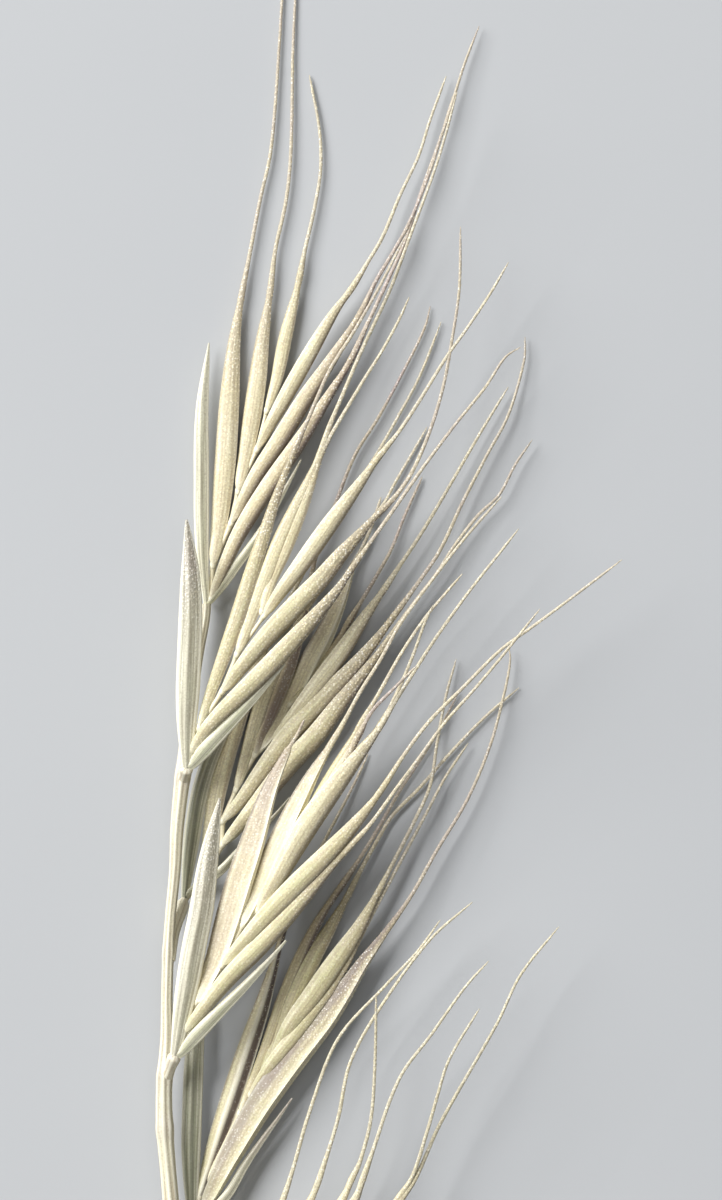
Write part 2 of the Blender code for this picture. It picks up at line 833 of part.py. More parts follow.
class SpikeletMaker:
    """Builds the solid of one spikelet."""

    def __init__(self, spikelet, sections, parts, draw):
        self.spikelet = spikelet
        self.level = spikelet.side.value
        self.sections = sections
        self.parts = parts
        self.draw = draw

    def rachilla(self):
        """Zigzag axis from the foot through the base of each floret."""
        foot = Vector(self.spikelet.node)
        bases = sorted((Vector(f.lemma[0]) for f in self.spikelet.florets), key=lambda p: (p - foot).length)
        points = [(*p, self.level) for p in [foot, *bases]]
        radii = [RACHILLA_RADIUS * (1.0 - RACHILLA_TAPER * i / len(bases)) for i in range(len(points))]
        name = f"spikelet_{self.spikelet.number}"
        return sweep(name, points, radii, self.sections["rachilla"], self.parts)

    def glume(self, glume, profile, name, home):
        """Keeled scale with its root in the foot."""
        route = Route((self.spikelet.node, *glume.midline))
        points = []
        radii = []
        for share, width in profile:
            place = route.at(share * route.length)
            points.append((*place, self.level))
            radii.append(width * glume.width / 2)
        return sweep(name, points, radii, self.sections["glume"], home)

    def tip_height(self, rank):
        """Height of an awn's tip: low ones sink to the surface and high ones stand off."""
        if self.spikelet.side is Side.LOW:
            return self.draw.uniform(*LOW_TIP_HEIGHTS[rank.name])
        return self.level + rank.value * RANK_OFFSET + self.draw.uniform(*HIGH_TIP_LIFTS)

    def floret(self, floret, name, home):
        """Lemma with its awn, its root sunk in the rachilla."""
        route = Route((*floret.lemma, *floret.awn))
        body = route.knots[len(floret.lemma) - 1]
        offset = floret.rank.value * RANK_OFFSET
        points = []
        radii = []
        for share, width in LEMMA_PROFILE:
            s = share * body
            height = self.level + offset * ease(s / RANK_RISE_LENGTH)
            points.append((*route.at(s), height))
            radii.append(max(width * floret.width / 2, AWN_ROOT_RADIUS))
        tip = self.tip_height(floret.rank)
        for i in range(1, AWN_STATIONS + 1):
            share = i / AWN_STATIONS
            height = self.level + offset + (tip - self.level - offset) * share**AWN_BEND
            points.append((*route.at(body + share * (route.length - body)), height))
            radii.append(AWN_ROOT_RADIUS + (AWN_TIP_RADIUS - AWN_ROOT_RADIUS) * share)
        return sweep(name, points, radii, self.sections["lemma"], home)

    def build(self):
        """Joins the glumes and florets to the rachilla in one solid."""
        head = self.rachilla()
        repeats = bpy.data.collections.new(f"{head.name} repeats")
        bpy.context.scene.collection.children.link(repeats)
        self.glume(self.spikelet.upper_glume, UPPER_GLUME_PROFILE, "Upper glume", repeats)
        self.glume(self.spikelet.lower_glume, LOWER_GLUME_PROFILE, "Lower glume", repeats)
        for i, floret in enumerate(self.spikelet.florets, 1):
            self.floret(floret, f"Floret {i}", repeats)
        boolean(head, "UNION", collection=repeats)
        remove_all(repeats.objects)
        bpy.data.collections.remove(repeats)
        return head


def stem_height(y):
    """Height of the stem's axis at a place along the head."""
    return between(STEM_LEVELS, y)


def nearest_foot(point):
    """The spikelet whose foot is nearest to a point."""
    return min(SPIKELETS, key=lambda s: (Vector(s.node) - Vector(point)).length)


def make_pedicel(path, name, home):
    """Short stalk that swells towards its spikelet and stops just short of it."""
    spikelet = nearest_foot(path[-1])
    foot = Vector((*spikelet.node, spikelet.side.value))
    start = Vector((*path[0], stem_height(path[0][1])))
    middle = [Vector((*p, 0.0)) for p in path[1:-1]]
    for i, point in enumerate(middle, 1):
        point.z = start.z + (foot.z - start.z) * i / (len(middle) + 1)
    last = middle[-1] if middle else start
    end = foot - (foot - last).normalized() * PEDICEL_GAP
    points = [start, *middle, end]
    thin, thick = PEDICEL_RADII
    radii = [thin + (thick - thin) * i / (len(points) - 1) for i in range(len(points))]
    return sweep(name, points, radii, None, home)


def make_stem(parts):
    """Stem with its rachis and the stalks of its spikelets in one solid."""
    points = [(x, y, stem_height(y)) for x, y, _ in STEM_ROUTE]
    radii = [width / 2 for _, _, width in STEM_ROUTE]
    stem = sweep("stem", points, radii, None, parts)
    stalks = bpy.data.collections.new("Stem stalks")
    bpy.context.scene.collection.children.link(stalks)
    for i, path in enumerate(PEDICELS, 1):
        make_pedicel(path, f"Stalk {i}", stalks)
    boolean(stem, "UNION", collection=stalks)
    remove_all(stalks.objects)
    bpy.data.collections.remove(stalks)
    return stem


def main():
    """Builds the seed head."""
    for item in list(bpy.data.objects):
        bpy.data.objects.remove(item, do_unlink=True)
    parts = bpy.data.collections.new(HEAD_NAME)
    cutters = bpy.data.collections.new("Cutters")
    bpy.context.scene.collection.children.link(parts)
    bpy.context.scene.collection.children.link(cutters)
    cutters.hide_render = True
    sections = {
        "lemma": make_section("Lemma section", LEMMA_SECTION, cutters),
        "glume": make_section("Glume section", GLUME_SECTION, cutters),
        "rachilla": make_section("Rachilla section", RACHILLA_SECTION, cutters),
    }
    draw = random.Random(TIP_SEED)
    stem = make_stem(parts)
    cut_at_surface(stem, cutters)
    finish(stem, make_material("Dry stem", STEM_COLOR, 0.45))
    for spikelet in SPIKELETS:
        head = SpikeletMaker(spikelet, sections, parts, draw).build()
        if spikelet.side is Side.LOW:
            cut_at_surface(head, cutters)
        shade = SPIKELET_SHADES[spikelet.number % len(SPIKELET_SHADES)]
        color = tuple(shade * value for value in SPIKELET_COLOR)
        finish(head, make_material(f"Dry spikelet {spikelet.number}", color, 0.5))


if __name__ == "__main__":
    main()
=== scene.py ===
"""Looks of a dry fescue seed head that lies on a pale surface and is seen from above.

Every spikelet is made again as fine surfaces round the routes that its solid follows:
rolled lemmas with nerves, margins and a palea, long rough awns, keeled glumes with thin
margins, a jointed rachilla with its calluses, and the prickles that make them rough.
Tables are in millimetres and finished meshes in metres.
"""

import functools
import logging
import math
import random
from collections.abc import Sequence
from dataclasses import dataclass, field
from enum import Enum

import bpy
import numpy as np
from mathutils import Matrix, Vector


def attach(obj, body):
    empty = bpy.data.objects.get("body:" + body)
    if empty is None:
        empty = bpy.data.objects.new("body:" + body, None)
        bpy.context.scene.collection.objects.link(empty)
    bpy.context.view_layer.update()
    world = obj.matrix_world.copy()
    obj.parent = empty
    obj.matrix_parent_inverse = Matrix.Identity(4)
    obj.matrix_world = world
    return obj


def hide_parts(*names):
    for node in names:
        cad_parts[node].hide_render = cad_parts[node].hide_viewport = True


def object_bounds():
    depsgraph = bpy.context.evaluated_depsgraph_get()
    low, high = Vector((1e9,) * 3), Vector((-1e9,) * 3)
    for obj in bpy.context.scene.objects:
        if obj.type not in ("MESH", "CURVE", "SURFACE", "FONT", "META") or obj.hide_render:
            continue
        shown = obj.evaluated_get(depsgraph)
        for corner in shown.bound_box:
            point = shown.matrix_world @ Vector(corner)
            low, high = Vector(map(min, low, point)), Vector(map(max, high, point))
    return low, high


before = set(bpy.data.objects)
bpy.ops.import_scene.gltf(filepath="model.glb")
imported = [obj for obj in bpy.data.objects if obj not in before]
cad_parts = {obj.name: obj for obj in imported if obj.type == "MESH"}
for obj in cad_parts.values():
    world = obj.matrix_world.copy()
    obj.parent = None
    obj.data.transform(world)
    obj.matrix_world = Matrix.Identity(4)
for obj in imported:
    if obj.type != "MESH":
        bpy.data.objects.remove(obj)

LOG = logging.getLogger("seed_head")
CAD_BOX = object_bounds()

MM = 0.001
HEAD_MIDDLE = np.array([0.0335, -0.004, 0.0])
RANK_OFFSET = 0.17
RANK_RISE_LENGTH = 1.0
AWN_ROOT_RADIUS = 0.062
AWN_TIP_RADIUS = 0.036
LOW_TIP_HEIGHTS = {"RIGHT": (0.12, 0.34), "LEFT": (0.05, 0.10)}
HIGH_TIP_LIFTS = (0.2, 1.1)
TIP_SEED = 7
PRICKLE_SEED = 100
LOWEST_SKIN = 0.004
BOX_MARGIN = 0.000001
NEARLY_UPRIGHT = 0.9
SMOOTH_ANGLE = 50.0
PRICKLE_ANGLE = 30.0
STEM_LEVELS = (
    (-21.13, 0.22), (-18.88, 0.22), (-16.9, 0.66), (-13.4, 0.85), (1.0, 0.85), (3.1, 0.6),
    (4.89, 0.36),
)

Point = tuple[float, float]
Line = tuple[Point, ...]
Color = tuple[int, int, int]
Tube = tuple[np.ndarray, np.ndarray, np.ndarray, np.ndarray]


class Side(Enum):
    """The layer that a spikelet lies in, with the height of its middle."""

    LOW = 0.35
    HIGH = 1.32


class Rank(Enum):
    """The row that a floret stands in, with the sign of its offset from the middle."""

    RIGHT = 1
    LEFT = -1


@dataclass(frozen=True)
class Paint:
    """How one scale is coloured, how rough it is and how it is folded.

    Shares of colour lie between 0 and 1. Places across the scale run from -1 at its left
    edge to 1 at its right. Opened says how far a lemma is unrolled, ridge where its fold
    lies and crest how wide the painted highlight on the fold is. The next field is the
    strength of a flank of purple and painted shade, and the one after it the place where
    that flank starts; it runs to the right edge, or to the left edge where the strength is
    negative. The last field paints shade over the whole of a scale.
    """

    purple: float = 0.3
    green: float = 0.2
    pale: float = 0.5
    rough: float = 0.4
    edge: float = 0.3
    opened: float = 0.0
    ridge: float = 0.0
    crest: float = 0.16
    # Strength of a flank of purple and painted shade, and the place where that flank starts.
    purple_shade: float = 0.5
    purple_shade_from: float = 0.1
    # Painted shade laid over the whole of a scale.
    shade_all_over: float = 0.0


class Tone(Enum):
    """The looks that the scales come in."""

    # The last values of each tone set the purple and painted shade of one flank, and any painted shade
    # over the whole scale.
    CREAM = Paint(0.12, 0.15, 0.85, 0.55, purple_shade=0.85, purple_shade_from=0.35)
    BLEACHED = Paint(0.0, 0.1, 1.0, 0.4, purple_shade=0.7, purple_shade_from=0.35)
    GREEN = Paint(0.18, 0.6, 0.35, 0.45, purple_shade=0.8, purple_shade_from=0.35)
    SUNLIT = Paint(0.05, 0.4, 1.0, 0.3, 1.0, purple_shade=0.3, purple_shade_from=0.3)
    LEAF = Paint(0.1, 0.85, 0.35, 0.3, 0.6, purple_shade=0.3, purple_shade_from=0.3)
    PINK = Paint(0.36, 0.0, 1.0, 0.6, 0.2, purple_shade=0.55, purple_shade_from=0.5)
    MAUVE = Paint(0.6, 0.05, 0.45, 0.7, purple_shade=1.1, purple_shade_from=0.2)
    GLITTER = Paint(0.4, 0.45, 0.5, 1.0, purple_shade=0.8, purple_shade_from=0.35)
    SHADE = Paint(0.6, 0.4, 0.2, 0.4, 0.25, purple_shade=1.15, purple_shade_from=0.0)
    # Deep purple with painted shade over nearly all of its width.
    DUSKY = Paint(1.0, 0.2, 0.1, 0.6, 0.3, purple_shade=0.95, purple_shade_from=-0.7)
    SILVER = Paint(0.55, 0.3, 0.75, 1.0, 1.0, 0.8, -0.1, purple_shade=0.3)
    OPEN = Paint(0.2, 0.2, 0.75, 0.4, 1.0, 0.9, 0.45, purple_shade=-0.4, purple_shade_from=0.3)
    ROSY = Paint(0.5, 0.1, 0.7, 0.45, 1.0, 0.9, 0.68, purple_shade=-0.4, purple_shade_from=-0.5)
    FOLDED = Paint(0.3, 0.45, 0.45, 0.4, 1.0, 0.95, -0.12, 0.24, purple_shade=1.9, purple_shade_from=-0.1)
    # Grey-green glume with painted shade over all of it.
    SLATE = Paint(0.25, 0.9, 0.1, 0.3, 0.6, shade_all_over=0.4)
    BROAD = Paint(0.4, 0.5, 0.25, 0.8, 0.35, 0.7, 0.72, 0.4, purple_shade=-0.9, purple_shade_from=-0.25)


@dataclass(frozen=True)
class Glume:
    """One of the two empty scales at a spikelet's foot."""

    width: float
    tone: Tone
    midline: Line


@dataclass(frozen=True)
class Floret:
    """One floret: its rolled lemma and the awn that the lemma ends in."""

    rank: Rank
    width: float
    tone: Tone
    lemma: Line
    awn: Line


@dataclass(frozen=True)
class Spikelet:
    """One spikelet: its foot, its glumes and its florets from the lowest up."""

    number: int
    side: Side
    node: Point
    upper_glume: Glume
    lower_glume: Glume
    florets: tuple[Floret, ...]


# The stem's axis with its width at each point, then the stalks' routes.
STEM_ROUTE = (
    (-5.03, -21.13, 0.5), (-5.03, -18.88, 0.5), (-5.08, -16.13, 0.5), (-5.18, -13.38, 0.47),
    (-5.31, -11.13, 0.45), (-5.48, -9.13, 0.42), (-5.57, -8.01, 0.45), (-5.58, -7.01, 0.42),
    (-5.51, -5.88, 0.35), (-5.51, -4.88, 0.3), (-5.48, -3.76, 0.3), (-5.43, -2.88, 0.28),
    (-5.31, -1.63, 0.3), (-5.26, -0.63, 0.35), (-5.16, 0.37, 0.4), (-5.08, 0.99, 0.4),
    (-4.98, 1.99, 0.35), (-4.83, 3.12, 0.3), (-4.71, 3.87, 0.28), (-4.58, 4.49, 0.25),
    (-4.53, 4.89, 0.25),
)
PEDICELS = (
    ((-5.11, 0.62), (-5.03, 0.79)),
    ((-5.41, -3.88), (-5.31, -3.13), (-5.13, -2.58)),
    ((-5.53, -6.83), (-5.36, -6.43)),
    ((-5.28, -11.43), (-5.08, -11.01), (-4.88, -10.63)),
    ((-5.08, -16.93), (-4.98, -16.59)),
)

# Half width, as a share of the widest, at each share of the length.
LEMMA_PROFILE = (
    (0.0, 0.44), (0.06, 0.56), (0.15, 0.73), (0.29, 0.92), (0.44, 1.0), (0.59, 0.95), (0.73, 0.78),
    (0.87, 0.52), (1.0, 0.25),
)
UPPER_GLUME_PROFILE = (
    (0.0, 0.38), (0.07, 0.56), (0.2, 0.84), (0.36, 1.0), (0.54, 1.0), (0.7, 0.9), (0.8, 0.74),
    (0.9, 0.46), (1.0, 0.1),
)
LOWER_GLUME_PROFILE = (
    (0.0, 0.5), (0.2, 1.0), (0.45, 0.85), (0.75, 0.5), (1.0, 0.16),
)

# Points along each midline, from its root up.
SPIKELETS = (
    Spikelet(1, Side.LOW, (-4.53, 5.02),
        Glume(0.38, Tone.SUNLIT,
            ((-4.53, 5.12), (-4.63, 6.37), (-4.65, 8.12), (-4.63, 9.87), (-4.46, 11.54))),
        Glume(0.25, Tone.GREEN,
            ((-4.43, 5.07), (-3.81, 5.92), (-3.13, 6.87), (-2.56, 7.87), (-2.16, 8.62))),
        (
            Floret(Rank.RIGHT, 0.45, Tone.MAUVE,
                ((-4.43, 5.12), (-3.76, 6.69), (-3.08, 7.82), (-2.18, 9.12), (-1.41, 10.32),
                 (-0.93, 11.09)),
                ((-0.51, 11.99), (0.02, 13.12), (0.44, 14.07), (0.82, 15.24), (1.49, 17.12),
                 (1.89, 18.41), (2.29, 19.46))),
            Floret(Rank.LEFT, 0.55, Tone.PINK,
                ((-4.36, 5.97), (-4.18, 7.12), (-4.03, 8.62), (-3.93, 10.12), (-3.81, 11.62),
                 (-3.66, 12.62)),
                ((-3.43, 13.82), (-3.18, 15.12), (-2.91, 16.37), (-2.71, 18.87), (-2.58, 21.12))),
            Floret(Rank.RIGHT, 0.45, Tone.MAUVE,
                ((-3.91, 7.02), (-3.33, 8.17), (-2.76, 9.04), (-2.06, 10.17), (-1.43, 11.09),
                 (-0.68, 12.27)),
                ((-0.31, 13.04), (0.12, 13.77), (0.52, 14.49), (0.99, 15.62), (1.32, 16.62),
                 (1.67, 17.79))),
            Floret(Rank.LEFT, 0.47, Tone.PINK,
                ((-3.73, 7.82), (-3.56, 8.62), (-3.38, 9.62), (-3.23, 10.62), (-3.11, 11.62),
                 (-2.93, 12.82)),
                ((-2.8, 13.87), (-2.53, 15.12), (-2.41, 16.37), (-2.36, 18.87), (-2.28, 20.62))),
            Floret(Rank.RIGHT, 0.4, Tone.CREAM,
                ((-3.26, 8.87), (-2.93, 9.52), (-2.38, 10.52), (-1.78, 11.57), (-1.31, 12.34),
                 (-0.88, 12.92)),
                ((-0.48, 13.57), (-0.11, 14.21), (0.32, 15.24), (0.77, 16.19), (1.07, 17.12),
                 (1.47, 18.21))),
            Floret(Rank.LEFT, 0.35, Tone.CREAM,
                ((-3.01, 9.84), (-2.76, 10.62), (-2.55, 11.62), (-2.31, 12.62), (-2.18, 13.24)),
                ((-2.06, 13.87), (-1.83, 14.87), (-1.67, 15.87), (-1.7, 16.87), (-1.95, 18.24))),
        )),
    Spikelet(2, Side.HIGH, (-5.01, 0.92),
        Glume(0.61, Tone.SILVER,
            ((-5.01, 1.02), (-5.01, 2.12), (-4.96, 3.37), (-4.91, 4.87), (-4.93, 6.12), (-5.01, 7.12))),
        Glume(0.37, Tone.LEAF,
            ((-4.86, 1.02), (-4.55, 1.38), (-4.01, 1.96), (-3.34, 2.66), (-2.87, 3.18), (-2.56, 3.52))),
        (
            Floret(Rank.RIGHT, 0.5, Tone.GLITTER,
                ((-4.94, 1.25), (-4.56, 1.85), (-4.22, 2.24), (-3.65, 2.8), (-3.04, 3.41), (-1.98, 4.54),
                 (-1.28, 5.34), (-0.91, 5.87)),
                ((-0.38, 6.62), (0.19, 7.42), (0.94, 8.49), (1.69, 9.49), (2.44, 10.42), (2.94, 11.17),
                 (3.32, 11.42))),
            Floret(Rank.LEFT, 0.4, Tone.GLITTER,
                ((-4.71, 1.9), (-4.49, 2.56), (-4.1, 3.63), (-3.75, 4.62), (-3.41, 5.68), (-3.11, 6.6),
                 (-2.76, 7.69), (-2.33, 8.82)),
                ((-1.93, 9.74), (-1.43, 10.87), (-0.88, 11.74), (-0.23, 12.87), (0.44, 14.17))),
            Floret(Rank.RIGHT, 0.53, Tone.GLITTER,
                ((-4.13, 2.82), (-3.56, 3.57), (-2.93, 4.32), (-2.18, 5.12), (-1.68, 5.64),
                 (-1.18, 6.24), (-0.68, 6.79), (-0.28, 7.22)),
                ((0.19, 7.69), (0.62, 8.32), (1.07, 9.37), (1.39, 10.44), (1.59, 11.49), (1.79, 12.87),
                 (1.82, 14.42))),
            Floret(Rank.LEFT, 0.42, Tone.CREAM,
                ((-3.76, 3.74), (-3.53, 4.32), (-3.31, 4.92), (-2.81, 6.24), (-2.51, 6.92),
                 (-2.18, 7.62), (-1.88, 8.27), (-1.66, 8.82)),
                ((-1.43, 9.49), (-1.06, 10.37), (-0.63, 11.37), (0.07, 12.87), (0.54, 14.12),
                 (1.27, 16.12), (1.74, 17.79))),
            Floret(Rank.RIGHT, 0.46, Tone.CREAM,
                ((-3.08, 4.72), (-2.68, 5.32), (-2.18, 5.99), (-1.43, 7.04), (-0.76, 7.94),
                 (-0.23, 8.67)),
                ((0.27, 9.29), (0.77, 10.04), (1.47, 11.17), (1.97, 11.87), (2.57, 12.77),
                 (3.02, 13.54))),
            Floret(Rank.LEFT, 0.38, Tone.CREAM,
                ((-3.13, 4.82), (-2.88, 5.62), (-2.61, 6.24), (-2.33, 6.92), (-2.08, 7.54),
                 (-1.83, 8.24), (-1.63, 8.82)),
                ((-1.46, 9.14), (-1.03, 9.87), (-0.61, 10.57), (-0.11, 11.37), (0.32, 12.17),
                 (0.54, 12.67))),
        )),
    Spikelet(3, Side.LOW, (-5.08, -2.38),
        Glume(0.42, Tone.SLATE,
            ((-5.06, -2.28), (-4.93, -1.13), (-4.78, -0.13), (-4.61, 0.62), (-4.36, 1.29), (-4.03, 1.92),
             (-3.68, 2.49))),
        Glume(0.23, Tone.GREEN,
            ((-4.98, -2.21), (-4.21, -1.68), (-3.68, -1.13), (-3.13, -0.58), (-2.81, -0.26),
             (-2.43, 0.19))),
        (
            Floret(Rank.LEFT, 0.5, Tone.CREAM,
                ((-4.63, -1.88), (-4.46, -1.01), (-4.26, 0.24), (-4.06, 1.07), (-3.86, 1.74),
                 (-3.56, 2.62), (-3.23, 3.49), (-2.88, 4.32)),
                ((-2.43, 5.17), (-1.81, 6.32), (-1.06, 7.54), (-0.28, 8.74), (0.29, 9.74), (0.79, 10.67),
                 (1.22, 11.74), (1.34, 12.07))),
            Floret(Rank.RIGHT, 0.53, Tone.GLITTER,
                ((-4.13, -1.01), (-3.56, -0.33), (-3.06, 0.29), (-2.43, 1.07), (-1.81, 1.74),
                 (-1.18, 2.57), (-0.61, 3.29), (-0.11, 3.94)),
                ((0.32, 4.57), (0.82, 5.24), (1.24, 5.79), (1.69, 6.49), (2.27, 7.24), (2.79, 7.74),
                 (3.19, 8.49), (3.62, 9.12))),
            Floret(Rank.RIGHT, 0.5, Tone.GLITTER,
                ((-4.13, -0.43), (-3.63, 0.17), (-3.23, 0.74), (-2.81, 1.32), (-2.38, 1.87),
                 (-1.43, 2.87), (-0.88, 3.44), (-0.36, 4.04), (0.14, 4.69)),
                ((0.82, 5.62), (1.32, 6.37), (1.87, 7.54), (2.49, 8.74), (3.02, 9.74), (3.42, 11.12),
                 (3.44, 11.69))),
            Floret(Rank.LEFT, 0.42, Tone.CREAM,
                ((-3.78, 0.37), (-3.58, 0.99), (-3.38, 1.67), (-3.13, 2.49), (-2.83, 3.24),
                 (-2.43, 4.12), (-2.03, 4.87)),
                ((-1.43, 5.74), (-0.81, 6.62), (-0.08, 7.54), (0.19, 8.04), (0.74, 8.99), (0.99, 9.44))),
            Floret(Rank.LEFT, 0.38, Tone.DUSKY,
                ((-3.31, 1.24), (-3.08, 1.87), (-2.83, 2.49), (-2.58, 3.12), (-2.38, 3.67),
                 (-2.18, 4.32), (-1.98, 5.12)),
                ((-1.81, 6.12), (-1.31, 7.49), (-0.81, 8.74), (-0.23, 9.67), (0.42, 10.87),
                 (0.94, 11.94), (1.07, 12.46))),
            Floret(Rank.LEFT, 0.55, Tone.OPEN,
                ((-3.18, 1.37), (-2.73, 1.99), (-2.28, 2.79), (-1.88, 3.62), (-1.51, 4.32),
                 (-1.13, 5.19), (-0.86, 5.97)),
                ((-0.63, 6.42), (-0.38, 6.99), (-0.16, 7.69))),
            Floret(Rank.RIGHT, 0.45, Tone.CREAM,
                ((-2.88, 1.57), (-2.48, 2.07), (-2.06, 2.62), (-1.63, 3.19), (-1.13, 3.87),
                 (-0.61, 4.64), (-0.06, 5.42)),
                ((0.32, 5.99), (0.82, 6.74), (1.39, 7.69), (1.97, 8.69), (2.44, 9.49), (3.02, 10.44))),
            Floret(Rank.LEFT, 0.3, Tone.SHADE,
                ((-2.43, 2.49), (-2.06, 2.87), (-1.68, 3.42), (-1.31, 3.92), (-0.93, 4.62)),
                ((-0.63, 5.12), (-0.26, 5.74), (0.09, 6.37), (0.44, 7.24), (0.87, 8.19))),
        )),
    Spikelet(4, Side.HIGH, (-5.31, -6.26),
        Glume(0.61, Tone.SILVER,
            ((-5.25, -5.95), (-5.11, -5.13), (-4.96, -4.3), (-4.81, -3.45), (-4.64, -2.6), (-4.5, -1.6),
             (-4.36, -0.76), (-4.18, 0.17))),
        Glume(0.35, Tone.LEAF,
            ((-5.16, -6.2), (-4.8, -5.79), (-4.19, -5.15), (-3.69, -4.65), (-3.23, -4.17),
             (-2.86, -3.77), (-2.53, -3.38))),
        (
            Floret(Rank.RIGHT, 0.49, Tone.GREEN,
                ((-5.08, -5.69), (-4.38, -4.78), (-3.88, -4.19), (-3.24, -3.54), (-2.35, -2.58),
                 (-1.58, -1.71), (-1.01, -1.11)),
                ((-0.43, -0.48), (0.19, 0.37), (0.82, 1.22), (1.44, 2.07), (2.19, 2.92), (2.94, 3.82),
                 (3.79, 4.89))),
            Floret(Rank.LEFT, 0.7, Tone.ROSY,
                ((-4.76, -4.93), (-4.48, -4.33), (-4.23, -3.76), (-3.96, -2.88), (-3.66, -1.88),
                 (-3.33, -0.88), (-2.93, 0.37), (-2.48, 1.37)),
                ((-2.26, 1.74), (-2.08, 2.12))),
            Floret(Rank.RIGHT, 0.55, Tone.GREEN,
                ((-4.13, -4.01), (-3.68, -3.51), (-3.13, -2.88), (-2.43, -2.13), (-1.68, -1.38),
                 (-0.88, -0.53), (-0.23, 0.27)),
                ((0.44, 1.29), (1.07, 2.12), (1.87, 2.92), (2.82, 3.87), (3.57, 4.42), (4.52, 5.12),
                 (5.84, 6.12))),
            Floret(Rank.LEFT, 0.55, Tone.OPEN,
                ((-3.61, -3.01), (-3.28, -2.26), (-2.88, -1.33), (-2.43, -0.38), (-1.93, 0.62),
                 (-1.43, 1.49)),
                ((-1.16, 1.94), (-0.68, 2.82), (-0.18, 3.62), (0.32, 4.52), (1.12, 5.62), (1.94, 6.67),
                 (2.84, 7.69))),
            Floret(Rank.RIGHT, 0.6, Tone.CREAM,
                ((-3.23, -2.63), (-2.81, -1.88), (-2.26, -0.88), (-1.63, 0.07), (-0.93, 0.99),
                 (-0.23, 1.89)),
                ((0.17, 2.54), (0.69, 3.37), (1.22, 4.19), (2.07, 5.37), (2.82, 6.32), (3.27, 6.89))),
            Floret(Rank.LEFT, 0.35, Tone.GREEN,
                ((-2.23, -0.76), (-1.88, -0.13), (-1.38, 0.69), (-0.93, 1.49), (-0.63, 2.07)),
                ((-0.21, 2.79), (0.32, 3.74), (0.94, 4.67), (1.44, 5.27), (1.87, 5.77))),
            Floret(Rank.RIGHT, 0.3, Tone.MAUVE,
                ((-2.06, -0.43), (-1.43, 0.49), (-0.98, 1.24), (-0.68, 1.82)),
                ((-0.36, 2.37), (0.12, 2.87), (0.72, 3.47))),
            Floret(Rank.LEFT, 0.3, Tone.CREAM,
                ((-1.73, 0.12), (-1.06, 0.87), (-0.48, 1.57), (-0.13, 2.07)),
                ((0.27, 2.87), (0.62, 3.69), (0.94, 4.57), (1.14, 4.99))),
        )),
    Spikelet(5, Side.LOW, (-4.86, -10.51),
        Glume(0.5, Tone.SLATE,
            ((-4.88, -10.26), (-4.91, -8.88), (-4.88, -7.63), (-4.83, -6.38), (-4.73, -5.13),
             (-4.61, -4.01))),
        Glume(0.25, Tone.SHADE,
            ((-4.66, -10.43), (-4.01, -9.76), (-3.56, -9.01), (-3.13, -8.38), (-2.73, -7.83),
             (-2.38, -7.33))),
        (
            Floret(Rank.LEFT, 0.54, Tone.FOLDED,
                ((-4.72, -9.85), (-4.49, -9.15), (-4.2, -8.26), (-3.96, -7.55), (-3.73, -6.86),
                 (-3.43, -5.95), (-3.15, -5.13), (-2.89, -4.25), (-2.66, -3.38)),
                ((-2.38, -2.58), (-1.88, -1.51), (-1.43, -0.63), (-1.06, 0.07), (-0.76, 0.67),
                 (-0.48, 1.27))),
            Floret(Rank.RIGHT, 0.72, Tone.BROAD,
                ((-4.62, -10.1), (-4.44, -9.76), (-4.01, -8.89), (-3.31, -7.65), (-2.8, -6.9),
                 (-2.21, -6.12), (-1.6, -5.38), (-1.17, -4.78), (-0.63, -3.96), (-0.11, -3.26)),
                ((0.57, -2.31), (1.24, -1.13), (1.99, 0.12), (2.57, 1.49), (2.94, 2.87), (3.07, 3.62),
                 (3.04, 3.92))),
            Floret(Rank.LEFT, 0.38, Tone.SHADE,
                ((-3.7, -7.74), (-3.42, -7.1), (-3.01, -6.12), (-2.55, -4.81), (-2.13, -3.76),
                 (-1.67, -2.83), (-1.11, -1.98)),
                ((-0.68, -1.33), (-0.18, -0.51), (0.32, 0.37), (0.82, 1.12), (1.32, 1.92),
                 (1.77, 2.79))),
            Floret(Rank.RIGHT, 0.4, Tone.GREEN,
                ((-3.43, -7.26), (-2.93, -6.51), (-2.38, -5.83), (-1.88, -5.18), (-1.43, -4.63),
                 (-1.06, -4.06)),
                ((-0.68, -3.33), (-0.26, -2.51), (0.32, -1.43), (0.99, -0.18), (1.44, 0.67),
                 (2.02, 1.54))),
            Floret(Rank.LEFT, 0.5, Tone.GREEN,
                ((-3.13, -6.83), (-2.73, -5.88), (-2.23, -4.63), (-1.81, -3.76), (-1.38, -3.01),
                 (-0.98, -2.26)),
                ((-0.66, -1.63), (-0.18, -0.76), (0.12, -0.28), (0.82, 0.44), (1.57, 1.29), (2.44, 2.19),
                 (3.29, 2.92))),
            Floret(Rank.RIGHT, 0.55, Tone.GREEN,
                ((-2.88, -6.38), (-2.43, -5.51), (-1.88, -4.76), (-1.31, -3.93), (-0.76, -3.13),
                 (-0.26, -2.23)),
                ((0.24, -1.26), (0.69, -0.38), (1.07, 0.49), (1.24, 1.54), (1.47, 2.74), (1.72, 3.64))),
        )),
    Spikelet(6, Side.HIGH, (-4.93, -16.38),
        Glume(0.6, Tone.SILVER,
            ((-4.93, -16.18), (-5.03, -14.88), (-5.06, -13.38), (-4.98, -11.88), (-4.86, -10.26))),
        Glume(0.3, Tone.GREEN,
            ((-4.78, -16.29), (-4.06, -15.51), (-3.31, -14.71), (-2.63, -13.93), (-2.06, -13.26))),
        (
            Floret(Rank.RIGHT, 0.55, Tone.BLEACHED,
                ((-4.63, -15.68), (-3.73, -14.58), (-2.56, -13.21), (-1.31, -11.76), (-0.18, -10.58),
                 (0.32, -9.86)),
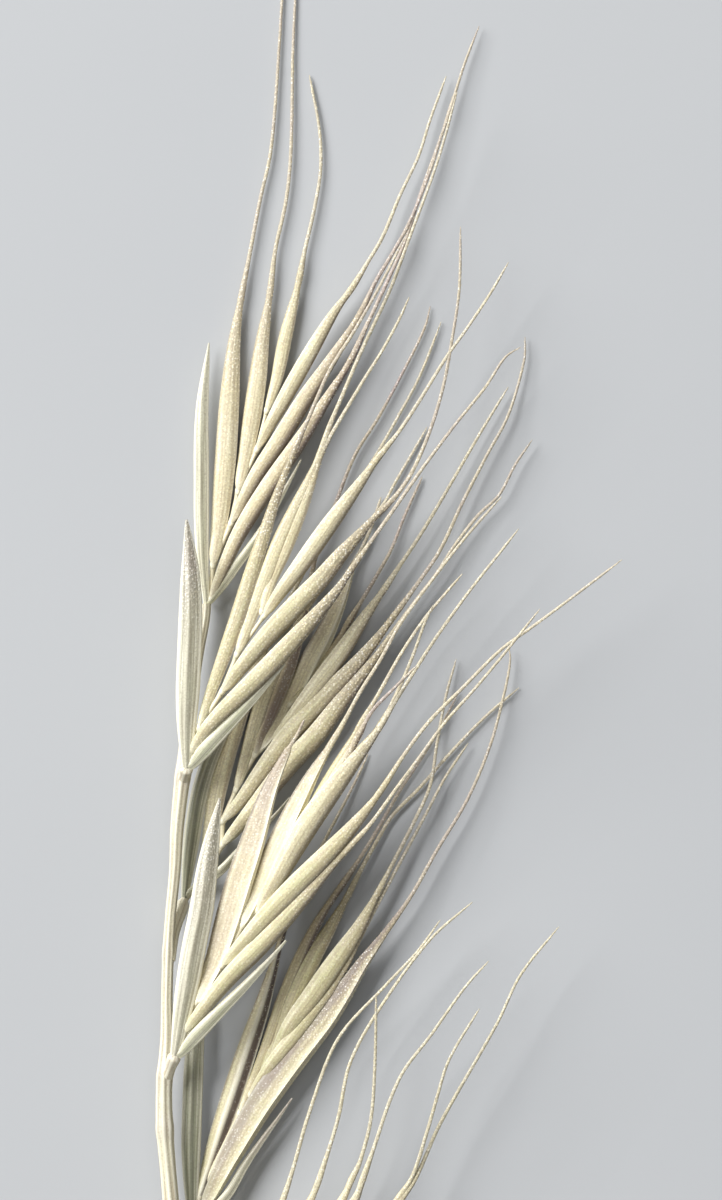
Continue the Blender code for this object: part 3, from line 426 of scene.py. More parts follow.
                ((0.72, -9.26), (1.32, -7.93), (2.74, -5.43), (3.32, -4.23), (4.27, -3.03))),
            Floret(Rank.LEFT, 0.55, Tone.BLEACHED,
                ((-4.53, -15.38), (-4.33, -14.38), (-3.93, -13.08), (-3.48, -11.76), (-2.93, -10.58),
                 (-2.68, -10.05)),
                ((-2.38, -9.16), (-1.93, -7.61), (-1.23, -5.83), (-0.03, -4.48), (0.74, -3.66),
                 (1.32, -2.86))),
            Floret(Rank.RIGHT, 0.53, Tone.BLEACHED,
                ((-3.88, -14.38), (-3.13, -13.33), (-2.18, -12.26), (-1.06, -11.21), (-0.11, -10.33),
                 (0.24, -9.84)),
                ((0.62, -9.26), (0.99, -8.13), (1.24, -7.26), (1.54, -6.33), (2.29, -5.06))),
            Floret(Rank.LEFT, 0.53, Tone.BLEACHED,
                ((-4.08, -14.58), (-3.68, -13.51), (-3.13, -12.33), (-2.48, -11.01), (-2.06, -10.18),
                 (-1.78, -9.55)),
                ((-1.56, -8.9), (-1.23, -7.81), (-0.93, -6.43), (-0.23, -5.13), (1.04, -3.38),
                 (2.12, -2.41))),
            Floret(Rank.RIGHT, 0.45, Tone.BLEACHED,
                ((-3.13, -13.26), (-2.56, -12.33), (-1.88, -11.33), (-1.23, -10.43), (-0.81, -9.83),
                 (-0.62, -9.34)),
                ((-0.43, -8.81), (0.29, -6.83), (1.12, -5.68), (1.94, -4.53), (2.52, -3.88))),
            Floret(Rank.LEFT, 0.45, Tone.BLEACHED,
                ((-3.38, -13.43), (-2.88, -12.38), (-2.18, -11.38), (-1.56, -10.51), (-1.11, -9.83),
                 (-0.9, -9.36)),
                ((-0.68, -8.88), (-0.41, -7.81), (-0.31, -6.38), (-0.28, -4.73))),
        )),
)



def ease(u: np.ndarray | float) -> np.ndarray:
    """Smooth step: 3 u squared less 2 u cubed, with u held between 0 and 1."""
    u = np.clip(u, 0.0, 1.0)
    return u * u * (3.0 - 2.0 * u)


def bell(x: np.ndarray, width: float) -> np.ndarray:
    """Rounded bump of height 1: e to the power of less (x / width) squared."""
    return np.exp(-((x / width) ** 2))


def rounded_end(past: np.ndarray, least: float) -> np.ndarray:
    """Quarter circle down from 1 as past goes from 0 to 1, stopped at the root of least."""
    return np.sqrt(np.clip(1.0 - np.clip(past, 0.0, 1.0) ** 2, least, 1.0))


def unit(vectors: np.ndarray) -> np.ndarray:
    """Direction of each row, as a vector of length 1."""
    return vectors / np.linalg.norm(vectors, axis=1, keepdims=True)


def layered(shape: tuple[int, int], *masks: np.ndarray | float) -> np.ndarray:
    """Masks of one skin side by side, each held between 0 and 1 and spread over it."""
    return np.stack([np.broadcast_to(np.clip(mask, 0.0, 1.0), shape) for mask in masks], axis=-1)


def hermite(knots: np.ndarray, values: np.ndarray, slopes: np.ndarray, s: np.ndarray) -> np.ndarray:
    """Cubic through each value with its slope, on the stretch of knots that s lies in.

    Args:
        knots: Places of the values, in order.
        values: One row for each knot.
        slopes: Slope at each knot, in rows like the values.
        s: Places to read.

    Returns:
        One row for each place.
    """
    i = np.clip(np.searchsorted(knots, s, side="right") - 1, 0, len(knots) - 2)
    span = (knots[i + 1] - knots[i])[..., None]
    u = (s - knots[i])[..., None] / span
    return (
        (2 * u**3 - 3 * u**2 + 1) * values[i]
        + (u**3 - 2 * u**2 + u) * span * slopes[i]
        + (3 * u**2 - 2 * u**3) * values[i + 1]
        + (u**3 - u**2) * span * slopes[i + 1]
    )


def rounded(table: Sequence[Point], u: np.ndarray) -> np.ndarray:
    """Smooth value through a table of (place, value) rows.

    Each stretch is a cubic whose end slopes are the means of the straight lines beside
    them, and nought where those lines turn back.

    Args:
        table: Rows of place and value, in order of place.
        u: Places to read.

    Returns:
        The value at each place.
    """
    x, y = np.array(table, float).T
    steps = np.diff(y) / np.diff(x)
    slopes = np.zeros_like(y)
    slopes[1:-1] = np.where(steps[1:] * steps[:-1] > 0, (steps[1:] + steps[:-1]) / 2, 0.0)
    slopes[0], slopes[-1] = steps[0], steps[-1]
    return hermite(x, y[:, None], slopes[:, None], np.asarray(u, float))[..., 0]


class Route:
    """A smooth curve through given points, measured along its chords."""

    def __init__(self, points: Sequence[Sequence[float]]) -> None:
        """Works out the slope at each point from its neighbours.

        Args:
            points: Points that the curve goes through, in order.
        """
        self.points = np.array(points, float)
        chords = np.linalg.norm(np.diff(self.points, axis=0), axis=1)
        self.knots = np.concatenate([[0.0], np.cumsum(chords)])
        first = np.maximum(np.arange(len(points)) - 1, 0)
        last = np.minimum(np.arange(len(points)) + 1, len(points) - 1)
        spans = (self.knots[last] - self.knots[first])[:, None]
        self.slopes = (self.points[last] - self.points[first]) / spans

    @property
    def length(self) -> float:
        """Distance from the first point to the last."""
        return float(self.knots[-1])

    def at(self, s: np.ndarray) -> np.ndarray:
        """Points at distances s from the start."""
        return hermite(self.knots, self.points, self.slopes, s)


def frames_along(path: np.ndarray) -> tuple[np.ndarray, np.ndarray, np.ndarray]:
    """Level frame at each point of a path.

    The tangent is the central difference, the side is level and points to its right, and
    the third direction is square to both and points up.

    Args:
        path: Points along the path.

    Returns:
        The tangent, the side and the upward direction at each point.
    """
    tangent = unit(np.gradient(path, axis=0))
    side = unit(np.stack([tangent[:, 1], -tangent[:, 0], np.zeros(len(path))], axis=1))
    return tangent, side, np.cross(side, tangent)


def carried(path: np.ndarray, across: np.ndarray, up: np.ndarray) -> np.ndarray:
    """Rings of a section carried along a path: path + across times side + up times up.

    Args:
        path: Points along the path.
        across: Each ring's offsets to the side.
        up: Each ring's offsets upwards.

    Returns:
        The rings, none of which goes below the lowest skin.
    """
    _, side, rise = frames_along(path)
    rings = path[:, None] + across[..., None] * side[:, None] + up[..., None] * rise[:, None]
    rings[..., 2] = np.maximum(rings[..., 2], LOWEST_SKIN)
    return rings


class Skin:
    """Gathers closed surfaces and turns them into one mesh object."""

    def __init__(self) -> None:
        """Starts with nothing gathered."""
        self.points: list[np.ndarray] = []
        self.tints: list[np.ndarray] = []
        self.marks: list[np.ndarray] = []
        self.quads: list[np.ndarray] = [np.zeros((0, 4), int)]
        self.triangles: list[np.ndarray] = [np.zeros((0, 3), int)]
        self.quad_uvs: list[np.ndarray] = []
        self.triangle_uvs: list[np.ndarray] = []
        self.count = 0

    def _add_points(self, points: np.ndarray, tint: np.ndarray, marks: np.ndarray) -> int:
        """Adds points with their two sets of masks.

        Args:
            points: Places of the points.
            tint: Four masks for each.
            marks: Three masks for each.

        Returns:
            The first point's number.
        """
        first = self.count
        self.points.append(points)
        self.tints.append(tint)
        self.marks.append(marks)
        self.count += len(points)
        return first

    def add_tube(
        self,
        rings: np.ndarray,
        tint: np.ndarray,
        marks: np.ndarray,
        lengths: np.ndarray,
    ) -> None:
        """Adds a tube closed by a pole at each end.

        Point j of ring i joins its neighbours j + 1 and i + 1, and the last point of a ring
        joins the first, so the seam is closed.

        Args:
            rings: Points, one row for each ring.
            tint: Four masks at each point: purple, green, pale and rough.
            marks: Three masks at each point: edge, shade and streak.
            lengths: Distance of each ring along the path, for the map.
        """
        n, m = rings.shape[:2]
        first = self._add_points(
            np.concatenate([rings.reshape(-1, 3), rings[[0, -1]].mean(axis=1)]),
            np.concatenate([tint.reshape(-1, 4), tint[[0, -1], 0]]),
            np.concatenate([marks.reshape(-1, 3), marks[[0, -1], 0]]),
        )
        i, j = np.meshgrid(np.arange(n - 1), np.arange(m), indexing="ij")
        after = (j + 1) % m
        near, far = first + i * m, first + (i + 1) * m
        quads = np.stack([near + j, far + j, far + after, near + after], axis=-1)
        u, v = j / m, lengths[i]
        u_after, v_far = (j + 1) / m, lengths[i + 1]
        uvs = [(u, v), (u, v_far), (u_after, v_far), (u_after, v)]
        self.quads.append(quads.reshape(-1, 4))
        self.quad_uvs.append(np.stack([np.stack(p, -1) for p in uvs], axis=-2).reshape(-1, 4, 2))
        ring = np.arange(m)
        after = (ring + 1) % m
        pole = first + n * m
        start = np.stack([np.full(m, pole), first + ring, first + after], axis=1)
        last = first + (n - 1) * m
        end = np.stack([np.full(m, pole + 1), last + after, last + ring], axis=1)
        self.triangles.append(np.concatenate([start, end]))
        share = np.stack([(ring + 0.5) / m, ring / m, (ring + 1) / m], axis=1)
        ends = np.repeat([lengths[0], lengths[-1]], m)[:, None] + np.zeros(3)
        self.triangle_uvs.append(np.stack([np.concatenate([share, share[:, [0, 2, 1]]]), ends], -1))

    def add_prickles(
        self,
        feet: np.ndarray,
        leans: np.ndarray,
        lengths: np.ndarray,
        radius: float,
        tint: Sequence[float],
    ) -> None:
        """Adds three-sided spikes.

        Each has three feet on a circle square to its lean, a third of a turn apart, and a
        point at its foot's middle plus the lean times its length.

        Args:
            feet: Middle of each spike's foot.
            leans: Unit direction of each spike.
            lengths: Height of each spike.
            radius: Radius of a spike's foot.
            tint: Purple, green, pale and rough, the same all over.
        """
        helper = np.where(np.abs(leans[:, [2]]) < NEARLY_UPRIGHT, [[0.0, 0.0, 1.0]], [[1.0, 0.0, 0.0]])
        one = unit(np.cross(leans, helper))
        two = np.cross(leans, one)
        turns = (np.arange(3.0) * math.tau / 3)[None, :, None]
        ring = np.cos(turns) * one[:, None] + np.sin(turns) * two[:, None]
        base = (feet - leans * radius)[:, None] + ring * radius
        tips = feet + leans * lengths[:, None]
        points = np.concatenate([base, tips[:, None]], axis=1)
        points[..., 2] = np.maximum(points[..., 2], LOWEST_SKIN)
        count = 4 * len(feet)
        first = self._add_points(points.reshape(-1, 3), np.tile(tint, (count, 1)), np.zeros((count, 3)))
        corner = first + 4 * np.arange(len(feet))[:, None]
        sides = [[0, 1, 3], [1, 2, 3], [2, 0, 3], [0, 2, 1]]
        faces = (corner[:, None] + np.array(sides)[None]).reshape(-1, 3)
        self.triangles.append(faces)
        self.triangle_uvs.append(np.zeros((len(faces), 3, 2)))

    def build(
        self, name: str, material: bpy.types.Material, angle: float = SMOOTH_ANGLE
    ) -> bpy.types.Object:
        """Makes the object.

        Args:
            name: Name of the piece.
            material: Its finish.
            angle: Edges sharper than this, in degrees, stay sharp.

        Returns:
            The object, at the origin, with its place in its mesh in metres.
        """
        low, high = np.array(CAD_BOX)
        points = (np.concatenate(self.points) - HEAD_MIDDLE) * MM
        points = np.clip(points, low + BOX_MARGIN, high - BOX_MARGIN)
        quads, triangles = np.concatenate(self.quads), np.concatenate(self.triangles)
        mesh = bpy.data.meshes.new(name)
        mesh.vertices.add(len(points))
        mesh.vertices.foreach_set("co", points.astype(np.float32).ravel())
        corners = np.concatenate([quads.ravel(), triangles.ravel()]).astype(np.int32)
        mesh.loops.add(len(corners))
        mesh.loops.foreach_set("vertex_index", corners)
        starts = np.concatenate(
            [np.arange(len(quads)) * 4, quads.size + np.arange(len(triangles)) * 3]
        )
        mesh.polygons.add(len(starts))
        mesh.polygons.foreach_set("loop_start", starts.astype(np.int32))
        self._add_layers(mesh)
        mesh.update(calc_edges=True)
        mesh.validate()
        mesh.shade_smooth()
        mesh.set_sharp_from_angle(angle=math.radians(angle))
        mesh.materials.append(material)
        piece = bpy.data.objects.new(name, mesh)
        bpy.context.scene.collection.objects.link(piece)
        LOG.info("%s: %d faces", name, len(starts))
        return piece

    def _add_layers(self, mesh: bpy.types.Mesh) -> None:
        """Writes the masks and the surface's own map into the mesh.

        Args:
            mesh: The mesh, which has its points and faces.
        """
        for layer, parts in (("tint", self.tints), ("marks", self.marks)):
            masks = np.concatenate(parts)
            filled = np.ones((len(masks), 4), np.float32)
            filled[:, : masks.shape[1]] = masks
            attribute = mesh.attributes.new(layer, "FLOAT_COLOR", "POINT")
            attribute.data.foreach_set("color", filled.ravel())
        parts = [p.reshape(-1, 2) for p in (*self.quad_uvs, *self.triangle_uvs)]
        uvs = mesh.uv_layers.new(name="surface")
        uvs.uv.foreach_set("vector", np.concatenate(parts).astype(np.float32).ravel())


def linear(red: int, green: int, blue: int) -> tuple[float, float, float, float]:
    """Colour for a shader from its display values.

    Args:
        red: Display value of red, 0 to 255.
        green: The same of green.
        blue: The same of blue.

    Returns:
        The linear colour with full cover.
    """
    values = np.array([red, green, blue]) / 255
    r, g, b = np.where(values <= 0.04045, values / 12.92, ((values + 0.055) / 1.055) ** 2.4)
    return float(r), float(g), float(b), 1.0


class Graph:
    """Shorthand for adding nodes to a shader tree and linking them."""

    def __init__(self, tree: bpy.types.NodeTree) -> None:
        """Takes the tree to add to."""
        self.tree = tree

    def node(self, kind: str, inputs: dict | None = None, **settings: object) -> bpy.types.Node:
        """Adds a node.

        Args:
            kind: Blender's name of the node's type.
            inputs: Socket name or number to a value or to another node's output.
            settings: Properties of the node.

        Returns:
            The node.
        """
        node = self.tree.nodes.new(kind)
        for key, value in settings.items():
            setattr(node, key, value)
        for key, value in (inputs or {}).items():
            if isinstance(value, bpy.types.NodeSocket):
                self.tree.links.new(value, node.inputs[key])
            else:
                node.inputs[key].default_value = value
        return node

    def math(self, operation: str, *values: object) -> bpy.types.NodeSocket:
        """Result of one sum, product or comparison.

        Args:
            operation: Blender's name of it, with _CLAMP added to hold it between 0 and 1.
            values: Numbers or other nodes' outputs.

        Returns:
            The result's socket.
        """
        clamp = operation.endswith("_CLAMP")
        name = operation.removesuffix("_CLAMP")
        inputs = dict(enumerate(values))
        return self.node("ShaderNodeMath", inputs, operation=name, use_clamp=clamp).outputs[0]

    def times(self, *values: object) -> bpy.types.NodeSocket:
        """Product of two values or more, from the left."""
        return functools.reduce(lambda one, two: self.math("MULTIPLY", one, two), values)

    def mix(self, share: object, first: object, second: object) -> bpy.types.NodeSocket:
        """Colour between two colours."""
        inputs = {0: share, 6: first, 7: second}
        return self.node("ShaderNodeMix", inputs, data_type="RGBA").outputs[2]

    def step(self, value: object, low: object, high: object) -> bpy.types.NodeSocket:
        """Smooth step of a value from low to high."""
        inputs = {0: value, 1: low, 2: high}
        return self.node("ShaderNodeMapRange", inputs, interpolation_type="SMOOTHSTEP").outputs[0]

    def channels(self, layer: str) -> list[bpy.types.NodeSocket]:
        """Masks of one of the mesh's layers.

        Args:
            layer: Name of the layer.

        Returns:
            Its four channels. The last of the marks is always 1.
        """
        source = self.node("ShaderNodeAttribute", attribute_name=layer)
        split = self.node("ShaderNodeSeparateColor", {0: source.outputs["Color"]})
        return [*split.outputs[:3], source.outputs["Alpha"]]

    def group(self, tree: bpy.types.NodeTree, inputs: dict) -> bpy.types.bpy_prop_collection:
        """Outputs of a node group that is placed with its inputs."""
        return self.node("ShaderNodeGroup", inputs, node_tree=tree).outputs


class NewGroup(Graph):
    """A shader node group that is being put together."""

    def __init__(self, name: str, inputs: dict[str, str], outputs: Sequence[str]) -> None:
        """Makes the group's sockets.

        Args:
            name: Name of the group.
            inputs: Socket name to its type, Float or Vector.
            outputs: Names of the values that it gives.
        """
        super().__init__(bpy.data.node_groups.new(name, "ShaderNodeTree"))
        sockets = self.tree.interface
        for label, kind in inputs.items():
            sockets.new_socket(label, in_out="INPUT", socket_type=f"NodeSocket{kind}")
        for label in outputs:
            sockets.new_socket(label, in_out="OUTPUT", socket_type="NodeSocketFloat")
        self.given = self.node("NodeGroupInput").outputs

    def finished(self, **results: bpy.types.NodeSocket) -> bpy.types.NodeTree:
        """Links the results to the outputs of the same names and gives the group's tree."""
        self.node("NodeGroupOutput", results)
        return self.tree


def nerve_group() -> bpy.types.NodeTree:
    """Fine lines along a scale: noise stretched along the surface's own map.

    Returns:
        The group's tree.
    """
    inputs = {"Map": "Vector", "Across": "Float", "Along": "Float"}
    group = NewGroup("Nerve lines", inputs, ("Line", "Height"))
    given = group.given
    split = group.node("ShaderNodeSeparateXYZ", {0: given["Map"]}).outputs
    across = group.times(split[0], given["Across"])
    along = group.times(split[1], given["Along"])
    place = group.node("ShaderNodeCombineXYZ", {0: across, 1: along}).outputs[0]
    settings = {"Vector": place, "Scale": 1.0, "Detail": 3.0}
    noise = group.node("ShaderNodeTexNoise", settings).outputs[0]
    return group.finished(Line=group.step(noise, low=0.35, high=0.68), Height=noise)


def grain_group() -> bpy.types.NodeTree:
    """Rough skin: small round cells, some of which glint and some of which are dark.

    Returns:
        The group's tree.
    """
    inputs = {"Place": "Vector", "Cells": "Float", "Amount": "Float"}
    group = NewGroup("Rough grain", inputs, ("Glint", "Dark", "Height"))
    given = group.given
    settings = {"Vector": given["Place"], "Scale": given["Cells"], "Randomness": 0.9}
    cells = group.node("ShaderNodeTexVoronoi", settings).outputs
    split = group.node("ShaderNodeSeparateColor", {0: cells["Color"]}).outputs
    bright = group.math("GREATER_THAN", split[0], 0.58)
    core = group.step(cells["Distance"], low=0.5, high=0.1)
    rim = group.step(cells["Distance"], low=0.25, high=0.7)
    dull = group.math("LESS_THAN", split[1], 0.45)
    gap = group.math("MAXIMUM", rim, group.times(dull, 0.7))
    dome = group.step(cells["Distance"], low=0.75, high=0.0)
    amount = given["Amount"]
    return group.finished(
        Glint=group.times(bright, core, amount),
        Dark=group.times(gap, amount),
        Height=group.times(dome, amount),
    )


def stain_group() -> bpy.types.NodeTree:
    """Slow uneven stains, from noise in space.

    Returns:
        The group's tree.
    """
    inputs = {"Place": "Vector", "Size": "Float", "Low": "Float", "High": "Float"}
    group = NewGroup("Stains", inputs, ("Stain",))
    given = group.given
    settings = {"Vector": given["Place"], "Scale": given["Size"], "Detail": 2.0}
    noise = group.node("ShaderNodeTexNoise", settings).outputs[0]
    return group.finished(Stain=group.step(noise, given["Low"], given["High"]))


@dataclass(frozen=True)
class Stain:
    """Noise of one size, and the stretch of it that goes from clean to stained."""

    size: float
    low: float
    high: float


@dataclass(frozen=True)
class StrawFinish:
    """Dry straw: its colours, its gloss and how strong its lines and grain are."""

    name: str
    ground: Color = (233, 219, 172)
    pale: Color = (252, 245, 207)
    green: Color = (213, 217, 156)
    purple: Color = (175, 151, 151)
    # Colour of pale margins and of painted highlights on ridges, keels, rib crests and between nerves.
    edge: Color = (252, 248, 228)
    glint: Color = (255, 253, 248)
    # Colour of the grain's dark gaps and of painted shade.
    dark: Color = (84, 72, 69)
    line: Color = (176, 154, 124)
    roughness: float = 0.46
    coat: float = 0.12
    coat_roughness: float = 0.35
    lines: float = 0.55
    # Share of painted highlight streaks between the nerves.
    highlight_streaks: float = 0.25
    lines_across: float = 26.0
    lines_along: float = 0.5
    cells: float = 17000.0
    grain: float = 1.0
    relief: float = 0.9
    relief_depth: float = 1.2e-5
    flecks: float = 0.4
    gaps: float = 0.56
    glints: float = 0.85
    shades: float = 0.9
    edges: float = 0.85
    slow: Stain = Stain(900.0, 0.3, 0.7)
    quick: Stain = Stain(3200.0, 0.35, 0.68)
    fleck: Stain = Stain(21000.0, 0.48, 0.72)

    def build(self, groups: dict[str, bpy.types.NodeTree]) -> bpy.types.Material:
        """Makes the material.

        The ground colour takes on the pale, green and purple of the tint layer, each broken
        up by stains. Over it go nerve lines and painted highlight streaks between them, flecks,
        the rough grain's dark gaps, the painted shade, the pale edge of a margin with the painted
        highlights of ridges, keels and rib crests, and last the grain's painted glints.

        Args:
            groups: The shared node groups by name.

        Returns:
            The material.
        """
        material = bpy.data.materials.new(self.name)
        material.use_nodes = True
        graph = Graph(material.node_tree)
        place = graph.node("ShaderNodeTexCoord").outputs["Object"]
        surface = graph.node("ShaderNodeUVMap", uv_map="surface").outputs[0]
        purple, green, pale, rough = graph.channels("tint")
        edge, shade, streak, _ = graph.channels("marks")
        slow, quick, fleck = (
            graph.group(
                groups["stains"],
                {"Place": place, "Size": stain.size, "Low": stain.low, "High": stain.high},
            )["Stain"]
            for stain in (self.slow, self.quick, self.fleck)
        )
        lines = {"Map": surface, "Across": self.lines_across, "Along": self.lines_along}
        nerves = graph.group(groups["nerves"], lines)
        cells = {"Place": place, "Cells": self.cells, "Amount": graph.times(rough, self.grain)}
        grain = graph.group(groups["grain"], cells)
        between = graph.step(nerves["Height"], low=0.44, high=0.3)
        coats = (
            (graph.times(pale, self._part(graph, slow, least=0.55)), self.pale),
            (graph.times(green, self._part(graph, quick, least=0.5)), self.green),
            (graph.times(purple, self._part(graph, slow, least=0.45)), self.purple),
            (graph.times(nerves["Line"], self.lines, streak), self.line),
            # Painted highlight streaks between the nerves, in the edge colour.
            (graph.times(between, self.highlight_streaks, streak), self.edge),
            (graph.times(fleck, self.flecks), self.line),
            (graph.times(grain["Dark"], self.gaps), self.dark),
            # Painted shade from the shade layer.
            (graph.times(shade, self.shades), self.dark),
            # Pale margins, and painted highlights on ridges, keels and rib crests.
            (graph.times(edge, self.edges), self.edge),
            (graph.times(grain["Glint"], self.glints), self.glint),
        )
        color = linear(*self.ground)
        for share, coat in coats:
            color = graph.mix(share, color, linear(*coat))
        matt = graph.math("ADD", graph.times(grain["Glint"], -0.2), graph.times(quick, 0.14))
        height = graph.math("ADD", graph.times(nerves["Height"], 0.35), grain["Height"])
        relief = {"Height": height, "Strength": self.relief, "Distance": self.relief_depth}
        links, shader = material.node_tree.links, material.node_tree.nodes["Principled BSDF"]
        links.new(color, shader.inputs["Base Color"])
        links.new(graph.math("ADD_CLAMP", matt, self.roughness - 0.05), shader.inputs["Roughness"])
        links.new(graph.node("ShaderNodeBump", relief).outputs[0], shader.inputs["Normal"])
        shader.inputs["Coat Weight"].default_value = self.coat
        shader.inputs["Coat Roughness"].default_value = self.coat_roughness
        return material

    @staticmethod
    def _part(graph: Graph, mask: bpy.types.NodeSocket, least: float) -> bpy.types.NodeSocket:
        """A mask that never falls under the least share."""
        return graph.math("MULTIPLY_ADD", mask, 1.0 - least, least)


@dataclass(frozen=True)
class PlainFinish:
    """Matt surface of one colour with a faint unevenness."""

    name: str
    color: Color
    roughness: float
    darker_by: int = 5
    cloud_size: float = 60.0

    def build(self) -> bpy.types.Material:
        """Makes the material: one colour, a little darker and lighter in slow noise.

        Returns:
            The material.
        """
        material = bpy.data.materials.new(self.name)
        material.use_nodes = True
        graph = Graph(material.node_tree)
        place = graph.node("ShaderNodeTexCoord").outputs["Object"]
        clouds = {"Vector": place, "Scale": self.cloud_size, "Detail": 2.0}
        noise = graph.node("ShaderNodeTexNoise", clouds).outputs[0]
        darker = tuple(c - self.darker_by for c in self.color)
        color = graph.mix(noise, linear(*darker), linear(*self.color))
        shader = material.node_tree.nodes["Principled BSDF"]
        material.node_tree.links.new(color, shader.inputs["Base Color"])
        shader.inputs["Roughness"].default_value = self.roughness
        return material


def dressed(piece: bpy.types.Object, slot: str, *nodes: str) -> None:
    """Puts a piece on the part's one body.

    Args:
        piece: The piece.
        slot: Not used.
        nodes: Solids that it stands for, if any.
    """
    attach(piece, "root")
    if nodes:
        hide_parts(*nodes)


def risen(x: np.ndarray, start: float, over: float) -> np.ndarray:
    """Smooth step of x from 0 at the start to 1 a stretch further on."""
    return ease((x - start) / over)


@dataclass
class FloretShape:
    """Surface of one floret: lemma, palea and awn in one closed skin.

    Turns are in degrees round the section from the midnerve, and heights and depths are
    shares of the radius. Shares of the length run from 0 to 1 along the lemma and on to 2
    along the awn.
    """

    floret: Floret
    level: float
    tip: float
    body_rings: int = 54
    awn_rings: int = 64
    foot_length: float = 0.06
    foot_least: float = 0.06
    depth: float = 0.72
    turn_step: float = 15.0
    margin: float = 152.0
    margin_clearance: float = 13.0
    margin_turns: tuple[float, ...] = (-6.0, -2.0, 2.0, 6.0, 11.0)
    nerve_turns: tuple[float, ...] = (0.0, 45.0, 90.0)
    nerve_width: float = 10.0
    nerve_height: float = 0.05
    lip_width: float = 5.0
    lip_height: float = 0.05
    palea_slope: float = 8.0
    palea_inset: float = 0.14
    fold_end: float = 1.12
    fold_fade: float = 0.3
    ridge_height: float = 0.85
    crease_height: float = 0.12
    crease_width: float = 0.1
    opened_drop: float = 0.3
    flatness: float = 0.8
    awn_bend: float = 1.3
    awn_slimness: float = 0.84
    awn_swell: float = 0.5
    swell_fade: float = 7.0
    point_length: float = 0.1
    point_taper: float = 0.7
    turns: np.ndarray = field(init=False)
    path: np.ndarray = field(init=False)
    share: np.ndarray = field(init=False)
    radius: np.ndarray = field(init=False)
    lengths: np.ndarray = field(init=False)
    rings: np.ndarray = field(init=False)

    def __post_init__(self) -> None:
        """Works out the path, the radius along it and the rings."""
        route = Route((*self.floret.lemma, *self.floret.awn))
        body = float(route.knots[len(self.floret.lemma) - 1])
        inner = np.linspace(0.0, 1.0, self.body_rings)
        outer = np.linspace(0.0, 1.0, self.awn_rings + 1)[1:]
        self.lengths = np.concatenate([inner * body, body + outer * (route.length - body)])
        self.share = np.concatenate([inner, 1.0 + outer])
        offset = self.floret.rank.value * RANK_OFFSET
        start = self.level + offset * ease(self.lengths / RANK_RISE_LENGTH)
        fall = np.clip(self.share - 1.0, 0.0, 1.0) ** self.awn_bend
        height = start + (self.tip - self.level - offset) * fall
        self.path = np.column_stack([route.at(self.lengths), height])
        self.radius = np.concatenate([self._lemma_radius(inner), self._awn_radius(outer)])
        self.turns = self._turns()
        self.rings = self._rings()

    def _lemma_radius(self, share: np.ndarray) -> np.ndarray:
        """Radius of the lemma.

        Args:
            share: Shares of the lemma's length.

        Returns:
            Half its width, rounded off at the foot and nowhere thinner than the awn's root.
        """
        swell = rounded(LEMMA_PROFILE, share) * self.floret.width / 2
        root = AWN_ROOT_RADIUS * (self.awn_slimness + self.awn_swell)
        return np.maximum(swell, root) * rounded_end(1.0 - share / self.foot_length, self.foot_least)

    def _awn_radius(self, share: np.ndarray) -> np.ndarray:
        """Radius of the awn.

        Args:
            share: Shares of the awn's length.

        Returns:
            The radius, which is swollen where the awn starts and tapers to a point.
        """
        thin = AWN_ROOT_RADIUS + (AWN_TIP_RADIUS - AWN_ROOT_RADIUS) * share
        thin = thin * (self.awn_slimness + self.awn_swell * (1 - ease(share * self.swell_fade)))
        past = np.clip((share - (1.0 - self.point_length)) / self.point_length, 0, 1)
        return thin * (1.0 - self.point_taper * past**2)

    def _turns(self) -> np.ndarray:
        """Angles round the section, closer together at the margins.

        Returns:
            The angles in degrees, from -180 up to less than 180.
        """
        even = np.arange(-180.0, 180.0, self.turn_step)
        even = even[np.abs(np.abs(even) - self.margin) > self.margin_clearance]
        close = self.margin + np.array(self.margin_turns)
        return np.sort(np.concatenate([even, close, -close]))

    def _rings(self) -> np.ndarray:
        """Rings of the skin.

        The section is an ellipse, as deep as the depth's share of its width. Five nerves
        stand up as low bumps of its radius, the margins as lips, and the palea between them
        lies lower by its inset. The top of an opened lemma is a low tent: two planes that
        rise from its edges to a ridge. All of this dies away where the awn starts.

        Returns:
            Points, one row for each ring.
        """
        paint = self.floret.tone.value
        turn = self.turns[None]
        body = ease((self.fold_end - self.share[:, None]) / self.fold_fade)
        past_margin = np.abs(turn) - self.margin
        nerves = sum(bell(np.abs(turn) - at, self.nerve_width) for at in self.nerve_turns)
        lip = bell(past_margin + 2.0, self.lip_width)
        palea = ease(past_margin / self.palea_slope)
        relief = self.nerve_height * nerves + self.lip_height * lip - self.palea_inset * palea
        grow = 1.0 + body * relief
        angle = np.radians(turn if self.floret.rank is Rank.RIGHT else 180.0 - turn)
        x, height, ridge = np.cos(angle), np.sin(angle), paint.ridge
        tent = np.where(x < ridge, (x + 1) / (ridge + 1), (1 - x) / (1 - ridge))
        share = paint.opened * body
        flat_top = np.sign(height) * np.abs(height) ** self.flatness
        round_top = flat_top * (1.0 - self.opened_drop * share)
        peaked = self.ridge_height * tent + self.crease_height * bell(x - ridge, self.crease_width)
        top = np.where(height > 0, round_top + share * (peaked - round_top), round_top)
        across = self.radius[:, None] * grow * x
        up = self.radius[:, None] * grow * self.depth * top
        return carried(self.path, across, up)

